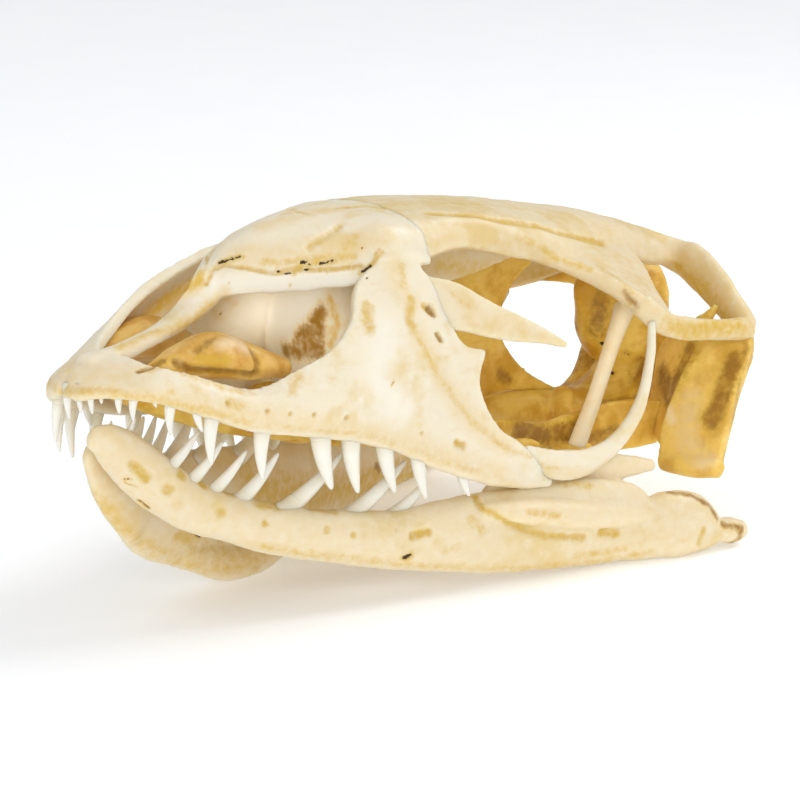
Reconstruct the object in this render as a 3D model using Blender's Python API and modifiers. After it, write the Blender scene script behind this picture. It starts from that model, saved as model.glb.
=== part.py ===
"""Skull of a monitor lizard: cranium resting on its two lower jaw rami.

Built in millimetres and scaled to metres at the end. The snout points to -X, the
animal's left side is -Y and the ground is z = 0. Both loose rami stand on their lower
edges. The origin ends up under the middle of the bounding box.
"""

import math

import bmesh
import bpy
import numpy as np
from mathutils import Vector

# Voxel size of the solids and smoothing passes over them.
VOXEL = 0.5
SMOOTH_STEPS = 3

# Thickness of the snout walls and pterygoid wings, of the thinnest bones, of the
# skull roof and of the quadrates.
SHELL = 1.3
SHEET = 1.0
ROOF_THICKNESS = 1.6
QUADRATE_THICKNESS = 1.9

# Clearance between neighbouring bones.
GAP = 0.42

# Ridge along the tooth row: shift inwards, rise over the edge, half width and half height.
RIM_INSET = 0.3
RIM_RISE = 0.35
RIM_HALF_WIDTH = 0.9
RIM_HALF_HEIGHT = 0.75

# Teeth: facets around, depth of the root, place and size of the middle ring, bend
# and flatness, all in base radii except the place, a share of the length. Lower teeth
# sink below the edge of the ramus by the seat.
TOOTH_SIDES = 6
TOOTH_ROOT = 0.9
TOOTH_RINGS = ((0.0, 1.0), (0.6, 0.72))
TOOTH_BEND = 0.12
TOOTH_FLATNESS = 0.85
TOOTH_SEAT = 0.9

# Block that stands for the ground under the rami.
GROUND_SIZE = (200.0, 200.0, 10.0)
GROUND_CENTRE = (40.0, 0.0, -5.0)

# Triangles left in each bone before its teeth are added.
BUDGET = {
    "snout": 1950,
    "skull_roof": 1150,
    "braincase": 620,
    "septum": 150,
    "palate": 430,
    "jugal": 130,
    "quadrate": 260,
    "epipterygoid": 60,
    "palpebral": 80,
    "septomaxilla": 100,
    "mandible": 720,
}

# Lateral wall of the left maxilla and premaxilla, from the tip backwards. Each row
# runs from the tooth row (first) up to the naris rim or roof edge (last).
WALL = [
    [(-2.3, -0.2, 26.8), (-2.1, -0.2, 27.6), (-1.7, -0.1, 28.4), (-1.0, -0.1, 29.0), (0.2, 0.0, 29.4)],
    [(-2.0, -2.0, 27.0), (-1.8, -1.9, 27.8), (-1.3, -1.6, 28.5), (-0.3, -1.0, 29.2), (1.2, 0.0, 29.8)],
    [(-1.1, -3.7, 27.4), (-0.7, -3.6, 28.1), (0.1, -3.2, 28.8), (1.2, -2.1, 29.6), (2.8, -0.2, 30.1)],
    [(0.3, -5.2, 27.5), (0.9, -5.2, 28.3), (1.7, -4.7, 28.9), (2.8, -3.5, 29.6), (4.2, -1.8, 30.1)],
    [(3.2, -7.7, 27.1), (3.7, -7.8, 27.9), (4.2, -7.4, 28.6), (4.7, -6.5, 29.2), (5.0, -5.6, 29.5)],
    [(6.4, -9.0, 26.0), (6.6, -9.3, 26.8), (6.9, -9.1, 27.6), (7.3, -8.4, 28.4), (7.4, -7.6, 28.9)],
    [(10.0, -10.2, 24.4), (10.0, -10.7, 25.3), (10.2, -10.7, 26.1), (10.4, -10.1, 27.0), (10.4, -9.2, 27.8)],
    [(14.6, -11.4, 22.5), (14.4, -12.0, 23.6), (14.4, -12.2, 24.6), (14.5, -11.7, 25.5), (14.8, -10.4, 26.3)],
    [(21.0, -12.6, 21.1), (20.6, -13.5, 22.8), (20.3, -13.8, 24.6), (20.0, -13.2, 26.3), (19.8, -11.6, 28.0)],
    [(27.0, -13.8, 19.6), (26.4, -14.5, 22.0), (25.6, -14.6, 24.8), (24.8, -13.8, 27.3), (24.1, -12.0, 29.5)],
    [(32.0, -14.8, 17.8), (31.2, -15.1, 21.4), (30.0, -14.8, 25.2), (28.8, -13.4, 29.0), (27.8, -11.2, 32.0)],
    [(36.0, -15.8, 15.6), (35.0, -15.6, 21.0), (33.6, -14.6, 26.6), (32.2, -12.6, 31.6), (30.6, -9.4, 35.7)],
    [(40.0, -16.8, 13.7), (38.6, -16.3, 20.2), (36.6, -14.8, 27.0), (35.4, -12.6, 33.0), (34.5, -9.4, 37.6)],
    [(42.0, -17.1, 13.0), (39.6, -16.6, 19.0), (37.8, -15.4, 25.0), (37.4, -13.2, 31.0), (38.4, -10.4, 36.8)],
    [(44.0, -17.4, 12.2), (41.0, -17.0, 17.5), (38.9, -16.2, 22.5), (38.2, -14.6, 28.0), (40.0, -12.0, 33.4)],
    [(48.0, -18.1, 11.3), (44.5, -18.0, 15.6), (41.4, -17.2, 20.0), (40.2, -16.0, 24.6), (41.0, -14.9, 28.4)],
    [(51.5, -18.9, 11.0), (47.8, -18.9, 15.6), (43.6, -17.9, 19.2), (41.9, -17.0, 23.6), (43.6, -16.0, 27.2)],
]

# The right maxilla is deeper than the left one and keeps its tall part beside the naris.
TALL_WALL = {
    1: [(-1.9, 1.8, 26.6), (-1.8, 1.8, 27.5), (-1.2, 1.5, 28.4), (-0.3, 0.9, 29.1), (1.2, 0.0, 29.8)],
    2: [(-1.0, 3.5, 26.0), (-1.0, 3.5, 27.1), (-0.3, 3.1, 28.3), (1.0, 2.0, 29.4), (2.8, 0.2, 30.1)],
    3: [(0.7, 5.0, 25.2), (0.9, 5.0, 26.6), (1.6, 4.6, 28.2), (2.8, 3.3, 29.6), (4.2, 1.8, 30.4)],
    4: [(3.6, 7.0, 24.2), (3.7, 7.0, 26.2), (4.2, 6.3, 28.6), (4.9, 4.9, 30.0), (5.6, 3.2, 30.9)],
    5: [(6.6, 8.3, 23.0), (6.6, 8.3, 25.4), (6.9, 7.7, 28.6), (7.4, 6.3, 30.7), (7.8, 4.6, 31.8)],
    6: [(10.0, 9.6, 21.7), (10.1, 9.8, 24.8), (10.2, 9.2, 28.4), (10.3, 7.8, 31.2), (10.4, 5.8, 33.0)],
    7: [(14.6, 11.0, 20.4), (14.7, 11.5, 23.8), (14.7, 10.9, 28.2), (14.6, 9.4, 32.2), (14.6, 7.2, 34.8)],
    8: [(21.0, 12.4, 19.4), (20.7, 13.1, 23.2), (20.3, 12.6, 28.4), (20.0, 10.6, 33.2), (19.8, 7.9, 36.5)],
    9: [(27.0, 13.7, 18.5), (26.2, 14.3, 22.8), (25.3, 13.7, 28.4), (24.7, 11.6, 33.8), (24.4, 8.6, 37.4)],
    10: [(32.0, 14.8, 17.3), (31.0, 14.9, 22.2), (29.7, 14.2, 28.0), (28.7, 12.0, 33.8), (28.2, 8.8, 37.8)],
    11: [(36.0, 15.8, 15.4), (35.0, 15.6, 21.0), (33.5, 14.6, 27.2), (32.4, 12.3, 33.3), (31.9, 9.2, 37.7)],
}

# Nasals and prefrontals, front to back, from the left edge over the midline to the right.
NASAL_ROOF = [
    [(17.0, -1.8, 34.9), (17.0, -1.0, 36.0), (17.0, 0.0, 36.5), (17.0, 1.0, 36.2), (17.0, 1.8, 35.3)],
    [(21.0, -3.2, 35.0), (20.2, -2.2, 37.4), (20.0, 0.0, 38.9), (20.2, 2.4, 38.2), (20.6, 4.4, 36.6)],
    [(24.6, -4.6, 34.9), (24.0, -3.8, 38.2), (24.0, 0.0, 40.5), (24.0, 3.8, 39.3), (24.5, 6.4, 37.5)],
    [(28.2, -6.2, 34.9), (28.0, -5.4, 38.6), (28.0, 0.0, 41.4), (28.0, 5.2, 39.9), (28.2, 8.2, 37.8)],
    [(31.8, -8.2, 35.3), (32.0, -6.6, 39.2), (32.0, 0.0, 41.9), (32.0, 6.4, 40.0), (32.0, 9.0, 37.8)],
    [(35.0, -9.6, 37.4), (36.0, -7.3, 40.6), (36.0, 0.0, 41.9), (36.0, 7.3, 40.6), (35.0, 9.6, 37.4)],
    [(40.8, -10.1, 36.8), (40.9, -7.6, 40.3), (40.9, 0.0, 41.5), (40.9, 7.6, 40.3), (40.8, 10.1, 36.8)],
]

# Wall of the left prefrontal between nasal cavity and orbit, from the side inwards.
PREFRONTAL_WALL = [
    [(39.4, -15.8, 20.0), (39.0, -15.0, 26.0), (38.8, -13.2, 31.5), (39.2, -10.0, 36.8)],
    [(37.4, -11.0, 19.6), (36.6, -10.4, 26.0), (37.0, -9.6, 32.0), (38.0, -8.2, 38.4)],
    [(36.6, -5.0, 19.6), (36.0, -5.0, 26.0), (36.6, -5.0, 33.0), (38.0, -4.6, 40.0)],
    [(37.0, 0.0, 19.6), (36.4, 0.0, 26.0), (37.0, 0.0, 33.0), (38.4, 0.0, 40.8)],
]

# Brow of the left prefrontal above the naris: x, y, z, half width, half height.
PREFRONTAL_RIM = [
    (33.5, -9.4, 37.4, 0.9, 0.9),
    (38.0, -10.0, 37.3, 0.8, 0.8),
    (40.8, -10.0, 36.9, 0.6, 0.6),
]

# Process of the premaxilla between the two nares: x, y, z, half width, half height.
NASAL_BAR = [
    (0.5, 0.0, 30.0, 1.6, 0.9),
    (6.0, 0.0, 30.6, 1.3, 0.9),
    (11.5, 0.0, 32.0, 1.6, 1.0),
    (15.4, 0.0, 34.0, 2.1, 1.2),
    (19.0, 0.0, 36.6, 2.6, 1.2),
]

# Frontals and parietal: x, then (half width, z) from the side flange to the midline.
ROOF = [
    (40.3, [(9.9, 37.0), (7.5, 40.2), (4.0, 41.2), (0.0, 41.5)]),
    (46.0, [(9.4, 37.4), (7.9, 40.0), (4.0, 40.9), (0.0, 41.2)]),
    (52.0, [(8.6, 36.0), (8.1, 38.9), (4.2, 40.2), (0.0, 40.5)]),
    (58.0, [(8.7, 34.4), (8.4, 37.5), (4.6, 39.2), (0.0, 39.7)]),
    (63.0, [(10.5, 33.4), (8.8, 36.0), (5.0, 38.0), (0.0, 38.8)]),
    (68.0, [(9.0, 33.4), (7.6, 35.7), (4.6, 37.2), (0.0, 37.8)]),
    (74.0, [(7.6, 32.5), (6.4, 34.8), (3.8, 36.2), (0.0, 36.6)]),
    (80.0, [(6.8, 30.9), (5.7, 33.3), (3.2, 34.5), (0.0, 34.8)]),
    (85.5, [(6.8, 29.9), (5.4, 31.7), (3.0, 32.6), (0.0, 32.9)]),
]
# Flange of the left frontal that walls the orbit beside the olfactory tract.
FRONTAL_FLANGE = [
    [(41.4, -4.6, 40.4), (41.4, -4.0, 36.0), (41.4, -3.2, 32.4)],
    [(48.0, -5.0, 40.2), (47.6, -4.2, 35.6), (47.2, -3.2, 32.0)],
    [(55.0, -5.2, 39.2), (55.0, -4.4, 35.6), (55.0, -3.6, 33.0)],
    [(63.0, -5.4, 37.4), (63.0, -5.0, 36.0), (63.0, -4.8, 34.8)],
]
# Thin wall in the midline between the orbits, front to rear, each row upwards. Its
# rear margin is hollowed out by the round window in front of the braincase.
SEPTUM = [
    [(41.6, 0.0, 18.6), (41.6, 0.0, 23.0), (41.6, 0.0, 28.0), (41.6, 0.0, 33.0), (41.6, 0.0, 38.8)],
    [(50.0, 0.0, 17.8), (49.0, 0.0, 22.0), (49.0, 0.0, 27.0), (49.5, 0.0, 32.0), (50.0, 0.0, 38.4)],
    [(58.0, 0.0, 17.4), (56.0, 0.0, 21.4), (55.6, 0.0, 26.0), (57.0, 0.0, 31.0), (59.0, 0.0, 37.4)],
    [(72.6, 0.0, 15.0), (66.2, 0.0, 18.8), (62.2, 0.0, 23.8), (63.6, 0.0, 28.8), (70.5, 0.0, 33.6)],
]
POSTORBITAL = [
    [(60.0, -8.2, 35.2), (63.2, -12.0, 33.0), (65.3, -15.8, 31.1), (66.9, -18.0, 29.2)],
    [(68.0, -7.0, 34.9), (69.2, -11.4, 32.6), (69.6, -15.4, 30.2), (69.4, -18.6, 28.0)],
    [(76.6, -5.8, 33.1), (75.2, -10.6, 31.3), (72.5, -15.4, 29.0), (70.8, -18.8, 27.4)],
]
ORBIT_RIM = [
    (58.5, -8.4, 35.2, 0.9, 0.9),
    (63.3, -12.0, 32.9, 1.0, 1.0),
    (65.6, -15.8, 30.9, 1.1, 1.1),
    (67.4, -18.0, 29.2, 1.2, 1.3),
]
LOWER_ARCADE = [
    (67.0, -18.2, 29.4, 1.1, 1.5),
    (70.2, -19.6, 26.6, 0.9, 1.4),
    (77.0, -20.4, 25.2, 1.0, 1.3),
    (83.2, -20.8, 24.4, 1.3, 1.4),
]
REAR_ARM = [
    (82.5, -3.0, 33.0, 1.6, 1.5),
    (86.4, -6.5, 30.8, 1.4, 2.1),
    (86.2, -10.0, 29.9, 1.3, 2.7),
    (85.4, -13.5, 28.2, 1.3, 2.7),
    (84.4, -17.0, 26.2, 1.3, 2.3),
    (83.4, -20.4, 24.4, 1.4, 1.7),
]

# Braincase bodies along the midline and the pairs that branch off it.
BRAINCASE_BODY = [
    (77.0, 0.0, 28.6, 1.1, 2.2),
    (79.2, 0.0, 26.6, 2.4, 4.4),
    (82.0, 0.0, 24.4, 4.4, 6.8),
    (85.6, 0.0, 22.8, 5.6, 7.0),
    (88.0, 0.0, 21.8, 3.2, 3.8),
    (89.8, 0.0, 21.0, 1.6, 1.6),
]
BASISPHENOID = [
    (56.0, 0.0, 15.2, 0.8, 0.8),
    (63.0, 0.0, 14.6, 1.6, 1.7),
    (69.0, 0.0, 13.2, 3.2, 2.6),
    (76.0, 0.0, 12.0, 4.2, 2.9),
    (81.0, 0.0, 13.2, 3.6, 3.2),
    (85.0, 0.0, 16.4, 3.4, 3.6),
    (87.0, 0.0, 19.0, 3.0, 3.0),
]
BASIPTERYGOID = [
    (71.5, -1.5, 15.0, 1.4, 1.3),
    (69.6, -3.8, 13.8, 1.2, 1.2),
    (68.2, -5.6, 12.6, 1.4, 1.0),
]
BASAL_TUBER = [
    (74.0, -2.4, 12.8, 1.8, 1.6),
    (79.5, -4.4, 11.6, 2.2, 2.4),
    (84.0, -5.2, 13.4, 2.2, 3.2),
    (86.6, -5.4, 18.2, 2.0, 3.0),
]
PAROCCIPITAL_LEFT = [
    [(84.0, -3.4, 19.4), (84.2, -3.4, 21.6), (84.4, -3.4, 23.8)],
    [(86.4, -10.4, 19.4), (86.4, -10.4, 20.9), (86.4, -10.4, 22.4)],
    [(84.8, -16.4, 21.4), (84.8, -16.4, 22.6), (84.8, -16.4, 23.8)],
]
PAROCCIPITAL_RIGHT = [
    [(84.0, 3.4, 22.6), (84.4, 3.4, 25.2), (84.6, 3.4, 27.8)],
    [(87.0, 10.4, 24.4), (87.0, 10.4, 25.6), (87.0, 10.4, 26.8)],
    [(84.8, 16.4, 24.6), (84.8, 16.4, 25.8), (84.8, 16.4, 27.0)],
]

# Palate of the left side.
VOMER = [
    (5.0, -1.5, 26.2, 0.9, 0.9),
    (14.0, -1.9, 22.8, 1.2, 1.7),
    (24.0, -2.7, 19.8, 1.5, 1.7),
    (33.0, -4.4, 17.0, 2.2, 1.1),
]
PALATINE = [
    (30.0, -4.2, 18.6, 1.8, 0.8),
    (38.0, -6.8, 16.0, 3.4, 0.9),
    (46.0, -8.6, 13.4, 2.6, 0.9),
]
PALATINE_SIDE = [
    (37.5, -8.5, 16.6, 2.2, 0.9),
    (37.2, -12.0, 17.8, 2.0, 0.9),
    (37.4, -14.3, 18.6, 2.6, 1.0),
]
PTERYGOID = [
    (44.0, -8.4, 13.6, 2.2, 0.9),
    (53.0, -10.0, 11.2, 3.4, 1.1),
    (61.0, -9.0, 10.2, 3.4, 1.3),
    (67.0, -9.8, 10.2, 2.0, 1.4),
]
# Upright wing of the pterygoid that runs back to the quadrate, each row upwards.
PTERYGOID_WING = [
    [(47.5, -8.4, 13.2), (47.8, -8.4, 15.0), (48.0, -8.4, 17.0)],
    [(53.0, -9.2, 11.0), (53.2, -9.2, 13.6), (53.4, -9.2, 16.4)],
    [(59.0, -8.8, 9.8), (59.2, -8.8, 12.2), (59.6, -8.8, 14.8)],
    [(66.0, -7.7, 9.2), (66.2, -7.7, 11.8), (66.4, -7.7, 14.4)],
    [(72.0, -9.2, 9.2), (72.4, -9.2, 12.2), (72.6, -9.2, 15.2)],
    [(77.4, -11.8, 9.8), (77.8, -11.8, 12.4), (78.2, -11.8, 15.0)],
]
ECTOPTERYGOID = [
    (53.0, -10.6, 11.6, 2.0, 1.0),
    (50.5, -13.6, 14.4, 1.8, 0.9),
    (49.0, -17.0, 15.3, 2.2, 1.0),
]

# Quadrate plates, bottom to top, each row from the front edge to the rear edge. The
# right one is narrower at the top.
QUADRATE = [
    [(74.2, -15.6, 8.3), (75.2, -19.2, 8.0), (76.6, -22.5, 8.4)],
    [(75.0, -15.0, 12.6), (76.6, -18.8, 12.6), (78.2, -22.5, 12.8)],
    [(77.2, -15.2, 17.4), (78.8, -18.2, 17.6), (80.2, -22.3, 17.8)],
    [(80.0, -15.6, 21.4), (81.4, -18.4, 22.0), (82.8, -21.9, 22.0)],
    [(82.4, -16.4, 24.0), (83.2, -18.8, 24.2), (83.8, -21.0, 24.0)],
]
QUADRATE_RIGHT = [
    [(74.2, 15.6, 8.3), (75.2, 19.2, 8.0), (76.6, 22.5, 8.4)],
    [(75.0, 15.2, 12.6), (76.6, 18.8, 12.6), (78.2, 22.5, 12.8)],
    [(77.0, 16.6, 17.4), (78.6, 19.2, 17.6), (80.2, 22.3, 17.8)],
    [(79.8, 18.6, 21.6), (81.2, 20.2, 22.0), (82.6, 21.9, 22.0)],
    [(82.2, 18.6, 24.0), (83.0, 19.8, 24.2), (83.8, 21.0, 24.0)],
]
# Flange that only the left quadrate keeps on its inner edge, each row upwards.
QUADRATE_FLANGE = [
    [(75.2, -15.4, 10.0), (77.2, -15.2, 16.4), (80.4, -15.8, 22.4), (82.4, -16.8, 27.0)],
    [(76.4, -13.0, 10.6), (78.8, -12.4, 17.0), (80.8, -13.0, 21.8), (81.8, -14.2, 24.9)],
    [(79.4, -9.2, 12.4), (80.4, -8.8, 16.6), (80.9, -9.0, 20.2), (81.2, -10.4, 22.8)],
]
CONDYLE = [
    (74.2, -15.8, 8.9, 1.2, 1.2),
    (75.2, -19.4, 8.7, 1.4, 1.3),
    (76.6, -22.5, 8.9, 1.2, 1.3),
]

JUGAL = [
    (47.4, -18.5, 15.0, 0.5, 1.3),
    (52.5, -19.5, 13.1, 0.8, 1.8),
    (57.0, -20.1, 13.1, 0.9, 1.5),
    (61.0, -20.6, 14.9, 0.8, 1.1),
    (64.2, -20.8, 18.4, 0.7, 0.85),
    (66.2, -20.4, 23.2, 0.6, 0.6),
    (67.6, -19.4, 27.4, 0.5, 0.4),
]
EPIPTERYGOID_LEFT = [
    (74.6, -8.8, 26.4, 1.3, 1.6),
    (72.6, -9.2, 23.4, 1.0, 1.1),
    (69.0, -9.6, 17.0, 0.9, 1.0),
    (65.2, -10.0, 11.0, 1.1, 1.1),
]
EPIPTERYGOID_RIGHT = [
    (71.2, 8.8, 26.8, 1.3, 1.6),
    (69.8, 9.2, 23.6, 1.0, 1.1),
    (67.2, 9.6, 17.2, 0.9, 1.0),
    (64.8, 10.0, 11.2, 1.1, 1.1),
]
# Palpebral spike: each row runs from its upper edge to its lower edge.
PALPEBRAL = [
    [(39.6, -10.6, 35.4), (39.0, -12.2, 32.6), (39.0, -13.4, 30.0)],
    [(42.3, -12.8, 34.6), (42.2, -14.0, 31.8), (42.0, -14.8, 29.4)],
    [(45.3, -15.8, 32.3), (45.4, -16.4, 30.2), (45.4, -16.9, 28.3)],
    [(49.6, -18.8, 29.6), (49.4, -19.0, 28.6), (49.2, -19.2, 27.7)],
    [(52.0, -20.6, 27.5), (51.9, -20.7, 27.3), (51.8, -20.8, 27.1)],
]
SEPTOMAXILLA = [
    (5.6, -4.7, 29.0, 1.0, 0.7),
    (9.4, -5.2, 29.8, 2.5, 1.7),
    (13.4, -5.7, 29.8, 3.6, 2.5),
    (17.2, -6.6, 28.7, 3.2, 2.0),
    (21.4, -8.4, 27.5, 1.3, 0.9),
]

# Lower jaw: x, y, lower edge z, upper edge z, half thickness.
RAMUS_LEFT = [
    (0.2, -1.2, 21.2, 23.6, 0.7),
    (2.2, -1.9, 19.2, 23.6, 1.3),
    (5.0, -3.0, 15.6, 21.4, 1.9),
    (8.0, -4.3, 12.6, 18.4, 2.1),
    (11.0, -5.7, 10.6, 16.2, 2.2),
    (14.0, -6.8, 9.4, 14.8, 2.2),
    (19.0, -8.6, 7.4, 13.0, 2.2),
    (25.0, -10.6, 5.6, 11.6, 2.3),
    (32.0, -12.6, 3.8, 10.4, 2.5),
    (38.0, -14.4, 2.6, 10.7, 2.5),
    (44.0, -16.2, 1.5, 11.1, 2.3),
    (50.0, -17.9, 0.9, 10.9, 2.1),
    (56.0, -19.4, 0.4, 10.9, 2.0),
    (61.0, -20.7, 0.1, 9.8, 2.0),
    (64.2, -21.7, 0.0, 7.2, 2.2),
    (67.0, -22.7, -0.3, 8.0, 2.6),
    (70.0, -23.4, -0.3, 7.3, 2.8),
    (72.6, -24.0, -0.1, 5.2, 2.2),
    (74.2, -24.4, 0.6, 3.7, 1.8),
    (76.2, -24.9, 0.2, 3.4, 1.6),
    (78.0, -25.2, 0.8, 2.7, 0.9),
]
RAMUS_RIGHT = [
    (1.8, 1.1, 18.8, 21.8, 0.7),
    (3.8, 1.6, 15.4, 21.0, 1.2),
    (6.2, 2.3, 11.8, 19.8, 1.7),
    (8.8, 3.3, 9.0, 18.4, 1.9),
    (11.0, 4.3, 6.8, 17.6, 2.0),
    (14.0, 4.9, 4.8, 17.0, 2.1),
    (18.0, 5.6, 3.0, 16.4, 2.2),
    (24.0, 6.8, 0.6, 15.4, 2.3),
    (30.0, 8.6, -0.3, 14.4, 2.5),
    (37.0, 11.0, -0.3, 13.2, 2.6),
    (44.0, 13.8, -0.3, 12.2, 2.5),
    (50.0, 16.2, -0.3, 11.2, 2.3),
    (56.0, 18.3, -0.3, 10.3, 2.4),
    (61.0, 20.0, -0.3, 9.4, 2.3),
    (64.2, 21.3, -0.3, 7.0, 2.3),
    (67.0, 22.4, -0.3, 8.0, 2.6),
    (70.0, 23.2, -0.3, 7.3, 2.8),
    (72.6, 23.9, -0.1, 5.2, 2.2),
    (74.2, 24.3, 0.3, 3.5, 1.8),
    (76.2, 24.8, -0.2, 3.1, 1.6),
    (78.0, 25.2, 0.5, 2.3, 0.9),
]
CORONOID = [
    (45.0, -15.2, 10.0, 1.0, 1.2),
    (51.5, -16.4, 11.4, 1.0, 2.2),
    (57.0, -17.7, 11.6, 1.0, 2.2),
    (62.0, -19.6, 11.2, 1.0, 1.5),
    (66.2, -21.2, 10.9, 0.7, 0.7),
]
LENS = [
    (42.0, -16.9, 9.2, 1.6, 1.1),
    (48.0, -18.9, 8.5, 2.0, 1.6),
    (54.0, -20.6, 7.3, 2.0, 1.7),
    (60.0, -22.0, 6.3, 1.6, 1.4),
    (64.4, -22.8, 5.7, 0.9, 0.8),
]

# Keel along the inner lower edge of the right ramus: x, y, z, half width, half height.
CHIN_KEEL = [
    (17.0, 4.8, 5.0, 1.2, 1.7),
    (23.0, 5.0, 2.4, 1.3, 2.0),
    (27.0, 5.3, 1.7, 1.4, 1.9),
    (31.0, 6.6, 1.6, 1.4, 1.8),
    (35.5, 8.8, 1.7, 1.2, 1.7),
]

# Teeth: base point, tip point, radius at the base.
UPPER_TEETH = [
    ((-2.2, -1.0, 27.9), (-2.3, -1.1, 24.6), 0.6),
    ((-1.7, -2.4, 28.1), (-1.9, -2.6, 25.5), 0.55),
    ((-1.0, -3.4, 28.1), (-1.2, -3.6, 25.4), 0.55),
    ((-0.2, -4.3, 28.2), (-0.7, -4.5, 26.6), 0.5),
    ((1.1, -5.5, 28.1), (0.7, -5.7, 25.5), 0.65),
    ((2.2, -6.6, 27.6), (1.6, -6.8, 24.8), 0.65),
    ((3.8, -7.9, 27.3), (3.7, -8.0, 26.1), 0.5),
    ((5.4, -8.6, 26.6), (4.9, -8.8, 23.0), 0.75),
    ((7.7, -9.9, 25.7), (8.3, -9.9, 23.0), 0.65),
    ((9.6, -10.3, 25.0), (9.1, -10.3, 19.3), 1.0),
    ((15.5, -11.5, 22.6), (15.4, -11.2, 16.8), 1.1),
    ((22.5, -12.8, 21.3), (24.2, -12.4, 14.2), 1.4),
    ((26.3, -13.5, 20.4), (27.4, -13.1, 13.3), 1.3),
    ((30.4, -14.3, 19.4), (32.1, -14.0, 12.6), 1.25),
    ((34.5, -15.3, 17.4), (35.6, -15.3, 11.5), 1.1),
    ((40.0, -16.7, 14.2), (40.3, -17.3, 11.3), 0.85),
]
# Longer front teeth of the right premaxilla.
RIGHT_FRONT_TEETH = [
    ((-1.4, 2.6, 26.4), (-1.7, 3.0, 21.4), 0.75),
    ((-0.2, 3.9, 26.0), (-0.3, 4.3, 19.8), 0.8),
    ((2.0, 5.3, 25.2), (2.4, 5.5, 18.4), 0.8),
]
# How far the right tooth row hangs below the left one: x and drop.
RIGHT_DROP = [(3.0, 2.9), (6.5, 3.0), (10.0, 2.7), (14.5, 2.1), (21.0, 1.7), (27.0, 1.1), (32.0, 0.5), (37.0, 0.0)]
LOWER_TEETH = [
    ((3.4, -2.6, 21.4), (4.9, -3.0, 23.9), 0.55),
    ((7.3, -5.2, 18.2), (10.8, -6.2, 21.9), 0.8),
    ((9.4, -6.0, 16.4), (13.3, -7.2, 20.5), 0.85),
    ((11.8, -7.0, 15.2), (15.8, -8.2, 19.3), 0.85),
    ((14.8, -8.0, 13.9), (19.6, -9.0, 18.5), 1.0),
    ((20.1, -9.6, 12.3), (27.5, -10.4, 17.2), 1.15),
    ((27.4, -11.6, 10.4), (35.3, -12.4, 15.4), 1.15),
    ((32.9, -13.0, 9.8), (37.2, -13.6, 12.9), 1.0),
]

MATERIAL_LOOK = {
    "jaw_bone": ((0.90, 0.79, 0.55), 0.45),
    "roof_bone": ((0.88, 0.74, 0.46), 0.45),
    "rear_bone": ((0.70, 0.45, 0.16), 0.5),
    "nasal_bone": ((0.63, 0.36, 0.15), 0.5),
}


def spline(points, per):
    """Samples a smooth curve through the points, each any number of values."""
    rows = np.array(points, float)
    ends = np.vstack([2 * rows[0] - rows[1], rows, 2 * rows[-1] - rows[-2]])
    out = []
    for i in range(1, len(ends) - 2):
        a, b, c, d = ends[i - 1], ends[i], ends[i + 1], ends[i + 2]
        for step in range(per):
            t = step / per
            out.append(
                0.5 * (2 * b + (c - a) * t + (2 * a - 5 * b + 4 * c - d) * t * t
                       + (3 * b - a - 3 * c + d) * t ** 3)
            )
    out.append(rows[-1])
    return np.array(out)


def mirrored(points):
    """The same points on the animal's other side."""
    return [(p[0], -p[1]) + tuple(p[2:]) for p in points]


def add_bar(mesh, points, per=5, ring=14):
    """Sweeps an ellipse along the points: x, y, z, half width, half height."""
    rows = spline(points, per)
    centres = rows[:, :3]
    tangents = np.gradient(centres, axis=0)
    rings = []
    for centre, tangent, row in zip(centres, tangents, rows):
        along = Vector(tangent).normalized()
        side = along.cross(Vector((0, 0, 1)))
        if side.length < 0.35:
            side = along.cross(Vector((-1, 0, 0)))
        side.normalize()
        up = side.cross(along)
        rings.append([
            mesh.verts.new(
                Vector(centre)
                + side * max(row[3], 0.2) * math.cos(2 * math.pi * k / ring)
                + up * max(row[4], 0.2) * math.sin(2 * math.pi * k / ring)
            )
            for k in range(ring)
        ])
    for first, second in zip(rings, rings[1:]):
        for k in range(ring):
            n = (k + 1) % ring
            mesh.faces.new((first[k], first[n], second[n], second[k]))
    for end, row, sign in ((rings[0], rows[0], -1), (rings[-1], rows[-1], 1)):
        tangent = Vector(tangents[0 if sign < 0 else -1]).normalized()
        tip = mesh.verts.new(Vector(row[:3]) + tangent * sign * 0.6 * min(row[3], row[4]))
        for k in range(ring):
            n = (k + 1) % ring
            corners = (end[n], end[k], tip) if sign < 0 else (end[k], end[n], tip)
            mesh.faces.new(corners)


def add_ramus(mesh, stations):
    """A jaw ramus from its lower and upper edges and its thickness."""
    add_bar(mesh, [(x, y, (low + top) / 2, w, (top - low) / 2) for x, y, low, top, w in stations])


def add_plate(mesh, rows, thickness, per=4):
    """A bone sheet through the rows of points, thickened to both sides."""
    along = np.array([spline(row, per) for row in rows])
    grid = np.array([spline(along[:, i], per) for i in range(along.shape[1])])
    columns, steps = grid.shape[:2]
    sheet = bmesh.new()
    verts = [[sheet.verts.new(grid[i, j]) for j in range(steps)] for i in range(columns)]
    for i in range(columns - 1):
        for j in range(steps - 1):
            corners = (verts[i][j], verts[i + 1][j], verts[i + 1][j + 1], verts[i][j + 1])
            sheet.faces.new(corners)
    bmesh.ops.remove_doubles(sheet, verts=sheet.verts, dist=0.0001)
    data = bpy.data.meshes.new("sheet")
    sheet.to_mesh(data)
    sheet.free()
    holder = bpy.data.objects.new("sheet", data)
    bpy.context.scene.collection.objects.link(holder)
    solidify = holder.modifiers.new("thickness", "SOLIDIFY")
    solidify.thickness = thickness
    solidify.offset = 0.0
    solidify.use_even_offset = False
    thick = evaluated_mesh(holder)
    mesh.from_mesh(thick)
    bpy.data.objects.remove(holder)


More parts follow.
